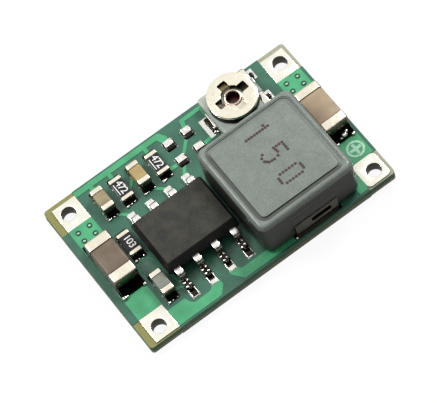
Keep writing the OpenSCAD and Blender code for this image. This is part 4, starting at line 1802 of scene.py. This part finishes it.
@dataclass
class ChipResistor:
    """White slip, black glaze with printed digits, wrapped end caps."""

    name: str
    digits: str
    wrap: float = 0.28
    underlined: bool = True

    def build(self) -> Shape:
        """Builds the resistor.

        Returns:
            Its solder, still in millimetres.
        """
        lo, hi = cad_box(f"{self.name}_ends")
        slip_lo, slip_hi = cad_box(f"{self.name}_substrate")
        coat_lo, coat_hi = cad_box(f"{self.name}_coat")
        slip = Tools.block(f"{self.name}_slip", slip_lo, slip_hi)
        Tools.soften(slip, 0.02, 2)
        Tools.seat(slip, "alumina", ALUMINA, [f"{self.name}_substrate"])
        coat = Tools.block(f"{self.name}_glaze", coat_lo, coat_hi)
        Tools.bevel(coat, lies_at(z=coat_hi.z), 0.03, 3)
        Tools.seat(coat, "resistor_glaze", GLAZE, [f"{self.name}_coat"])
        ends = []
        for y0, y1 in ((lo.y, lo.y + self.wrap), (hi.y - self.wrap, hi.y)):
            end = Tools.block("end", (lo.x, y0, lo.z), (hi.x, y1, hi.z))
            Tools.soften(end, 0.06, 4)
            ends.append(end)
        caps = Tools.join(f"{self.name}_caps", ends)
        Tools.seat(caps, "end_cap_tin", END_TIN, [f"{self.name}_ends"])
        self.print_digits(coat_lo, coat_hi)
        return end_solder(lo, hi, 0.3)

    def print_digits(self, lo: Vector, hi: Vector) -> None:
        """Prints the digits on the glaze, their heads towards +X.

        Args:
            lo: Lowest corner of the glaze.
            hi: Highest corner.
        """
        centre = (lo + hi) / 2
        bpy.ops.object.select_all(action="DESELECT")
        bpy.ops.object.text_add()
        text = bpy.context.object
        text.data.body = self.digits
        text.data.size = 0.62
        text.data.space_character = 0.92
        text.data.extrude = 0.002
        text.data.offset = 0.004
        text.data.align_x = "CENTER"
        text.data.align_y = "CENTER"
        text.data.resolution_u = 3
        bpy.ops.object.convert(target="MESH")
        text = bpy.context.object
        text.rotation_euler = (0, 0, -math.pi / 2)
        text.location = (centre.x + 0.05, centre.y, hi.z + 0.001)
        Tools.added(f"{self.name}_digits")
        shapes = [text]
        if self.underlined:
            shapes.append(Tools.block(
                "line", (centre.x - 0.3, centre.y - 0.4, hi.z - 0.001),
                (centre.x - 0.245, centre.y + 0.4, hi.z + 0.003)))
        Tools.seat(Tools.join(f"{self.name}_digits", shapes), "ink",
                   DIGIT_INK, smooth=20)


def end_solder(lo: Vector, hi: Vector, rise: float) -> Shape:
    """Melts a hollow fillet against both ends of a chip part.

    Args:
        lo: Lowest corner of the part with its caps.
        hi: Highest corner.
        rise: Height of the solder on the cap.

    Returns:
        Both fillets, still in millimetres.
    """
    land = 0.28 if hi.y - lo.y < LONG_PART else 0.5
    z0 = lo.z - 0.04
    blobs = []
    for side in (-1, 1):
        wall = lo.y if side < 0 else hi.y
        end = wall + side * land
        outer = end - side * 0.03
        top = lo.z + rise
        film = Tools.block("film", (lo.x - 0.02, wall - side * 0.3, z0),
                           (hi.x + 0.02, end, lo.z + 0.03))
        wedge = Tools.block("wedge", (lo.x + 0.06, wall - side * 0.04, z0),
                            (hi.x - 0.06, outer, top))
        Tools.bevel(wedge, lies_at(y=outer, z=top),
                    min(abs(outer - wall), rise), 6, 0.2)
        blob = Tools.join("blob", [film, wedge])
        Tools.remesh(blob, 0.026, 5, 0.035)
        blobs.append(blob)
    return Tools.join("fillets", blobs)


@dataclass
class ChipParts:
    """All capacitors and resistors, their solder and the spare lands."""

    slope_part: str = "output_capacitor"
    slope_beads: tuple[tuple[float, ...], ...] = (
        (0.95, 0.3, 0.2, 0.09), (1.15, 0.22, 0.3, 0.05),
        (0.7, 0.36, 0.12, 0.045))
    spare_side: float = 0.72

    def build(self) -> None:
        """Builds every part and joins their solder, painted near black as
        shade.
        """
        parts = [
            ChipPart("input_capacitor", "input_ceramic", BROWN_CERAMIC,
                     0.66, 0.6, 0.14),
            ChipPart("output_capacitor", "output_ceramic", TAN_CERAMIC,
                     0.58, 0.6, 0.14),
            ChipPart("feedforward_capacitor", "tan_ceramic", SAND_CERAMIC,
                     0.34, 0.4),
            ChipPart("compensation_capacitor", "amber_ceramic",
                     AMBER_CERAMIC, 0.34, 0.4),
            ChipPart("bootstrap_capacitor", "grey_ceramic", GREY_CERAMIC,
                     0.34, 0.4),
            ChipResistor("upper_resistor", "472"),
            ChipResistor("lower_resistor", "472"),
            ChipResistor("enable_resistor", "103", underlined=False),
        ]
        solder = Tools.join("part_solder", [part.build() for part in parts])
        Tools.seat(solder, "solder", SOLDER_PAINTED_DARK, ["chip_part_solder"], smooth=80)
        self.spatter([part.name for part in parts])
        self.spare_lands()

    def spatter(self, names: Sequence[str]) -> None:
        """Leaves small bright beads at the south foot of each part.

        Args:
            names: Names of the parts.
        """
        beads = []
        for index, name in enumerate(names):
            lo, hi = cad_box(f"{name}_ends")
            big = hi.y - lo.y > LONG_PART
            out, rise, size = (0.5, 0.1, 1.8) if big else (0.26, 0.05, 1.15)
            lean = 0.05 * (index % 3)
            row = [(0.1, out, 0, 0.08), (0.27 + lean, out, 0, 0.05),
                   (hi.x - lo.x - 0.1 - lean, out - 0.03, 0, 0.06)]
            if name == self.slope_part:
                row += self.slope_beads
            beads += [((lo.x + x, lo.y - away, lo.z + rise + up),
                       radius * size) for x, away, up, radius in row]
        scatter_beads("solder_beads", beads, (1.2, 1, 0.6))

    def spare_lands(self) -> None:
        """Melts a low square pale dome on each spare land, over a sole painted
        near black as shade.
        """
        lo, hi = cad_box("spare_pad_solder")
        side = self.spare_side
        domes, soles = [], []
        for x in (lo.x, hi.x - side):
            for y in (lo.y, hi.y - side):
                sole = Tools.block("sole", (x + 0.02, y + 0.02, lo.z),
                                   (x + side - 0.02, y + side - 0.05,
                                    lo.z + 0.13))
                Tools.bevel(sole, every, 0.09, 3)
                soles.append(sole)
                dome = Tools.block("dome", (x + 0.09, y + 0.25, lo.z),
                                   (x + side - 0.07, y + side - 0.03,
                                    lo.z + 0.22))
                Tools.remesh(dome, 0.022, 6, 0.06)
                domes.append(dome)
        Tools.seat(Tools.join("spare_domes", domes), "solder", WET_TIN,
                   ["spare_pad_solder"], smooth=80)
        Tools.seat(Tools.join("spare_soles", soles), "solder", SOLDER_PAINTED_DARK)


# ---------------------------------------------------------------- trimmer


@dataclass
class Trimmer:
    """One-turn trimmer: ceramic base, clips, rivet and pressed rotor."""

    rotor_r: float = 1.5
    flat: float = 1.38
    rim_t: float = 0.2
    hub_r: float = 1.18
    slot_w: float = 0.58
    slot_reach: float = 1.07
    recess_r: float = 0.66
    floor: float = 0.32
    base_h: float = 0.75
    bore_r: float = 0.4
    stem_r: float = 0.47
    flange_r: float = 0.55
    slot_turn: float = 5.0
    clip_t: float = 0.1
    clip_w: float = 0.8
    clip_y: float = 0.95
    flux_d: float = 0.5
    bead_squash: Point = (1, 1.3, 0.5)

    def build(self) -> None:
        """Builds all the pieces round the rotor's axis."""
        joint = frame["joints"][0]
        self.axis = Vector(joint["pos_m"]) / MM
        self.z0 = cad_box("trimmer_wiper_terminal")[0].z
        self.base()
        self.clips()
        self.rivet()
        self.rotor()
        self.solder()

    def base(self) -> None:
        """Shapes the ceramic base and bores it for the rivet."""
        lo, hi = cad_box("trimmer_base")
        base = Tools.block("trimmer_body", lo, hi)
        Tools.bevel(base, upright, 0.12, 5)
        for side in (-1, 1):
            y = self.axis.y + side * self.clip_y
            Tools.cut(base, Tools.block(
                "seat", (hi.x - 0.45, y - 0.43, hi.z - self.clip_t),
                (hi.x + 1, y + 0.43, hi.z + 1)))
        Tools.cut(base, Tools.drum("bit", self.axis, self.stem_r, 0, 3, 64))
        Tools.soften(base, 0.03, 2)
        Tools.seat(base, "trimmer_ceramic", TRIMMER_CERAMIC,
                   ["trimmer_base"])

    def clips(self) -> None:
        """Folds the end clips and the wiper's tab."""
        t = self.clip_t
        base_hi = cad_box("trimmer_base")[1]
        clip = folded_strip(
            "clip", self.clip_w,
            [(0.42, self.base_h - t / 2), (t / 2, self.base_h - t / 2),
             (t / 2, t / 2), (-0.15, t / 2)], 0.045, t)
        Tools.soften(clip, 0.02, 2, 50)
        pair = [Tools.copy(clip, "clip_copy",
                           (base_hi.x, self.axis.y + side * self.clip_y,
                            self.z0), 90)
                for side in (-1, 1)]
        bpy.data.objects.remove(clip)
        Tools.seat(Tools.join("end_clips", pair), "trimmer_tin",
                   TRIMMER_TIN, ["trimmer_end_terminals"])
        lo, hi = cad_box("trimmer_wiper_terminal")
        tab = Tools.block("wiper_tab", lo, (hi.x, hi.y, lo.z + t))
        rise = Tools.block("rise", (lo.x + 0.15, lo.y, lo.z + 0.02),
                           (lo.x + 0.25, hi.y, hi.z))
        Tools.cut(tab, rise, "UNION")
        Tools.cut(tab, Tools.drum("bit", self.axis, self.stem_r, 0, 3, 64))
        Tools.soften(tab, 0.025, 2)
        Tools.seat(tab, "trimmer_tin", TRIMMER_TIN,
                   ["trimmer_wiper_terminal"])

    def rivet(self) -> None:
        """Turns the rivet's tube and its rolled flange."""
        lo, hi = cad_box("trimmer_rivet")
        tube = Tools.drum("rivet", self.axis, self.stem_r, lo.z,
                          hi.z - 0.05, 64)
        wire = (self.flange_r - self.bore_r) / 2
        roll = Tools.ring("roll", (self.axis.x, self.axis.y, hi.z - wire),
                          self.bore_r + wire, wire, (64, 16))
        Tools.cut(tube, Tools.drum("bit", self.axis, self.bore_r, 0, 4, 64))
        rivet = Tools.join("rivet", [tube, roll])
        finish = RivetMetal("rivet_metal", "f2ddc8", "c9a88c", "5a1c14",
                            self.axis.x, self.axis.y, self.bore_r, hi.z)
        Tools.seat(rivet, "rivet_brass", finish, ["trimmer_rivet"],
                   smooth=60)
        level = hi.z - self.flux_d
        plug = Tools.drum("flux_plug", self.axis, self.bore_r + 0.01,
                          lo.z + 0.01, level, 48)
        Tools.bevel(plug, lies_at(z=level), 0.12, 4)
        Tools.seat(plug, "rivet_brass", FLUX, smooth=60)

    def rotor(self) -> None:
        """Presses the rotor: flat side, recess and cross slot."""
        lo, hi = cad_box("trimmer_rotor")
        axis = self.axis
        rotor = Tools.drum("rotor", axis, self.rotor_r, hi.z - self.rim_t,
                           hi.z)
        side = Tools.block("side", (axis.x + self.flat, axis.y - 3, 0),
                           (axis.x + 4, axis.y + 3, 4))
        Tools.cut(rotor, side)
        hub = Tools.drum("hub", axis, self.hub_r, lo.z, hi.z - 0.05)
        Tools.cut(rotor, hub, "UNION")
        floor = self.z0 + self.base_h + self.floor
        cross = Tools.drum("recess", axis, self.recess_r, floor, hi.z + 1,
                           64)
        for turn in (0, 90):
            arm = Tools.block(
                "arm",
                (axis.x - self.slot_reach, axis.y - self.slot_w / 2, floor),
                (axis.x + self.slot_reach, axis.y + self.slot_w / 2,
                 hi.z + 1))
            Tools.bevel(arm, upright, 0.08, 3)
            turned = Tools.copy(arm, "arm_turned", (0, 0, 0),
                                turn + self.slot_turn, axis)
            bpy.data.objects.remove(arm)
            Tools.cut(cross, turned, "UNION")
        Tools.cut(rotor, cross)
        Tools.cut(rotor, Tools.drum("bit", axis, self.stem_r + 0.03, 0, 4,
                                    64))
        Tools.soften(rotor, 0.035, 3, 32)
        finish = PressedPlate("rotor_plate", "faf4e0", "e4d6ae", "2e2a22",
                              "8c7a58", axis.x, axis.y, hi.z)
        Tools.seat(rotor, "rotor_plate", finish, ["trimmer_rotor"],
                   body=ROTOR, smooth=35)

    def solder(self) -> None:
        """Wets the three lands and melts a heap on each, painted near black as
        shade.
        """
        dress("trimmer_solder", WET_TIN)
        lo, hi = cad_box("trimmer_solder")
        base_lo, base_hi = cad_box("trimmer_base")
        row = []
        heaps = (((base_lo.x - 0.36, 3.2), (base_lo.x - 0.02, 4.28), 0.24),
                 ((base_hi.x + 0.02, 4.62), (hi.x - 0.12, 5.0), 0.3),
                 ((base_hi.x + 0.02, 2.85), (hi.x - 0.12, 3.2), 0.3))
        for (x0, y0), (x1, y1), rise in heaps:
            heap = Tools.block("heap", (x0, y0, lo.z),
                               (x1, y1, lo.z + rise))
            Tools.bevel(heap, every, 0.1)
            Tools.remesh(heap, 0.022, 4, 0.05)
            row.append(heap)
        Tools.seat(Tools.join("trimmer_heaps", row), "solder", SOLDER_PAINTED_DARK,
                   smooth=80)
        west, east = base_lo.x, base_hi.x
        beads = [((x, y, lo.z + up), radius) for x, y, up, radius in (
            (west - 0.13, 3.42, 0.22, 0.07), (west - 0.2, 3.2, 0.16, 0.08),
            (west - 0.08, 3.12, 0.14, 0.06), (east + 0.1, 4.6, 0.2, 0.09),
            (east + 0.26, 4.7, 0.14, 0.06), (east + 0.3, 3.22, 0.12, 0.08),
            (east + 0.1, 3.3, 0.16, 0.06))]
        scatter_beads("trimmer_beads", beads, self.bead_squash)


# ------------------------------------------------------------------ studio


@dataclass
class Studio:
    """Camera, white floor and soft light from above and behind."""

    camera_at: Point = (-24.738, -78.740, 151.611)
    forward: Point = (0.14232702, 0.4557719, -0.87864384)
    up: Point = (0.57864133, 0.68188751, 0.44744121)
    lens: float = 250.46
    sensor: float = 36.0
    floor_side: float = 2.0
    glow: float = 1.15
    share: float = 0.8
    mirrored: float = 0.3
    sky_axis: Point = (0.142, 0.456, 0.879)
    sky_stops: tuple[tuple[float, float], ...] = (
        (0.0, 0.015), (0.6, 0.02), (0.74, 0.08), (0.82, 0.45),
        (0.89, 0.84), (1.0, 0.9))

    def build(self) -> None:
        """Sets everything up round the model."""
        bpy.context.scene.view_settings.view_transform = "Standard"
        self.camera()
        self.floor()
        self.sky()
        self.lamps()

    def camera(self) -> None:
        """Places the camera."""
        data = bpy.data.cameras.new("camera")
        data.lens = self.lens
        data.sensor_width = self.sensor
        data.clip_start = 0.01
        data.clip_end = 10
        camera = bpy.data.objects.new("camera", data)
        bpy.context.scene.collection.objects.link(camera)
        forward, up = Vector(self.forward), Vector(self.up)
        right = forward.cross(up)
        rows = [(right[i], up[i], -forward[i], self.camera_at[i] * MM)
                for i in range(3)]
        camera.matrix_world = Matrix((*rows, (0, 0, 0, 1)))
        bpy.context.scene.camera = camera

    def floor(self) -> None:
        """Lays a white floor that shows white but keeps a soft shadow."""
        bpy.ops.object.select_all(action="DESELECT")
        bpy.ops.mesh.primitive_plane_add(size=self.floor_side)
        floor = bpy.context.object
        floor.name = "floor"
        desk = ShaderDesk("white_floor")
        desk.set(Base_Color=(0.5, 0.5, 0.5, 1), Roughness=0.9,
                 Specular_IOR_Level=0.0)
        glow = desk.add("ShaderNodeEmission", {},
                        {"Color": (1, 1, 1, 1), "Strength": self.glow})
        glossy, through, direct = [
            desk.add("ShaderNodeLightPath", output=f"Is {kind} Ray")
            for kind in ("Glossy", "Transmission", "Camera")]
        seen = direct + (glossy + through) * self.mirrored
        blend = desk.add("ShaderNodeMixShader", {},
                         {0: seen * self.share,
                          1: Signal(desk, desk.shader.outputs[0]), 2: glow})
        desk.feed(desk.output.inputs[0], blend)
        floor.data.materials.append(desk.material)

    def sky(self) -> None:
        """Makes the room: bright above and behind, dark by the camera."""
        world = bpy.data.worlds.new("studio")
        bpy.context.scene.world = world
        world.use_nodes = True
        desk = Desk(world.node_tree)
        place = desk.add("ShaderNodeTexCoord", output="Generated")
        lean = desk.add("ShaderNodeVectorMath",
                        {"operation": "DOT_PRODUCT"},
                        {0: place, 1: Vector(self.sky_axis).normalized()},
                        "Value")
        grey = [(at, (v, v, v, 1)) for at, v in self.sky_stops]
        ramp = desk.add("ShaderNodeValToRGB", {"stops": grey},
                        {0: lean * 0.5 + 0.5})
        room = desk.add("ShaderNodeBackground", {}, {0: ramp})
        white = desk.add("ShaderNodeBackground", {}, {0: (1, 1, 1, 1)})
        direct = desk.add("ShaderNodeLightPath", output="Is Camera Ray")
        blend = desk.add("ShaderNodeMixShader", {},
                         {0: direct, 1: room, 2: white})
        output = desk.tree.nodes.new("ShaderNodeOutputWorld")
        desk.feed(output.inputs[0], blend)

    def lamps(self) -> None:
        """Hangs two broad lamps behind the board, two small in front."""
        self.lamp("east_box", (0.16, 0.07, 0.19), 0.08, 0.275)
        self.lamp("west_box", (-0.11, 0.10, 0.20), 0.08, 0.235)
        self.lamp("left_spark", (-0.075, -0.10, 0.20), 0.04, 0.012)
        self.lamp("right_spark", (0.045, -0.12, 0.20), 0.04, 0.012)

    @staticmethod
    def lamp(name: str, place: Point, size: float, watts: float) -> None:
        """Hangs a round lamp that faces the model.

        Args:
            name: The lamp's name.
            place: Where it hangs, in metres.
            size: Its diameter in metres.
            watts: Its power.
        """
        data = bpy.data.lights.new(name, "AREA")
        data.shape = "DISK"
        data.size = size
        data.energy = watts
        lamp = bpy.data.objects.new(name, data)
        bpy.context.scene.collection.objects.link(lamp)
        spot = Vector(place)
        lamp.location = spot
        lamp.rotation_euler = (-spot).to_track_quat("-Z", "Y").to_euler()


def main() -> None:
    """Builds the studio and every sub-assembly in order."""
    logging.basicConfig(level=logging.INFO, format="%(message)s")
    for assembly in (Studio(), BareBoard(), CornerTerminals(), Controller(),
                     Inductor(), ChipParts(), Trimmer()):
        assembly.build()
        LOG.info("%s is built", type(assembly).__name__)


if __name__ == "__main__":
    main()
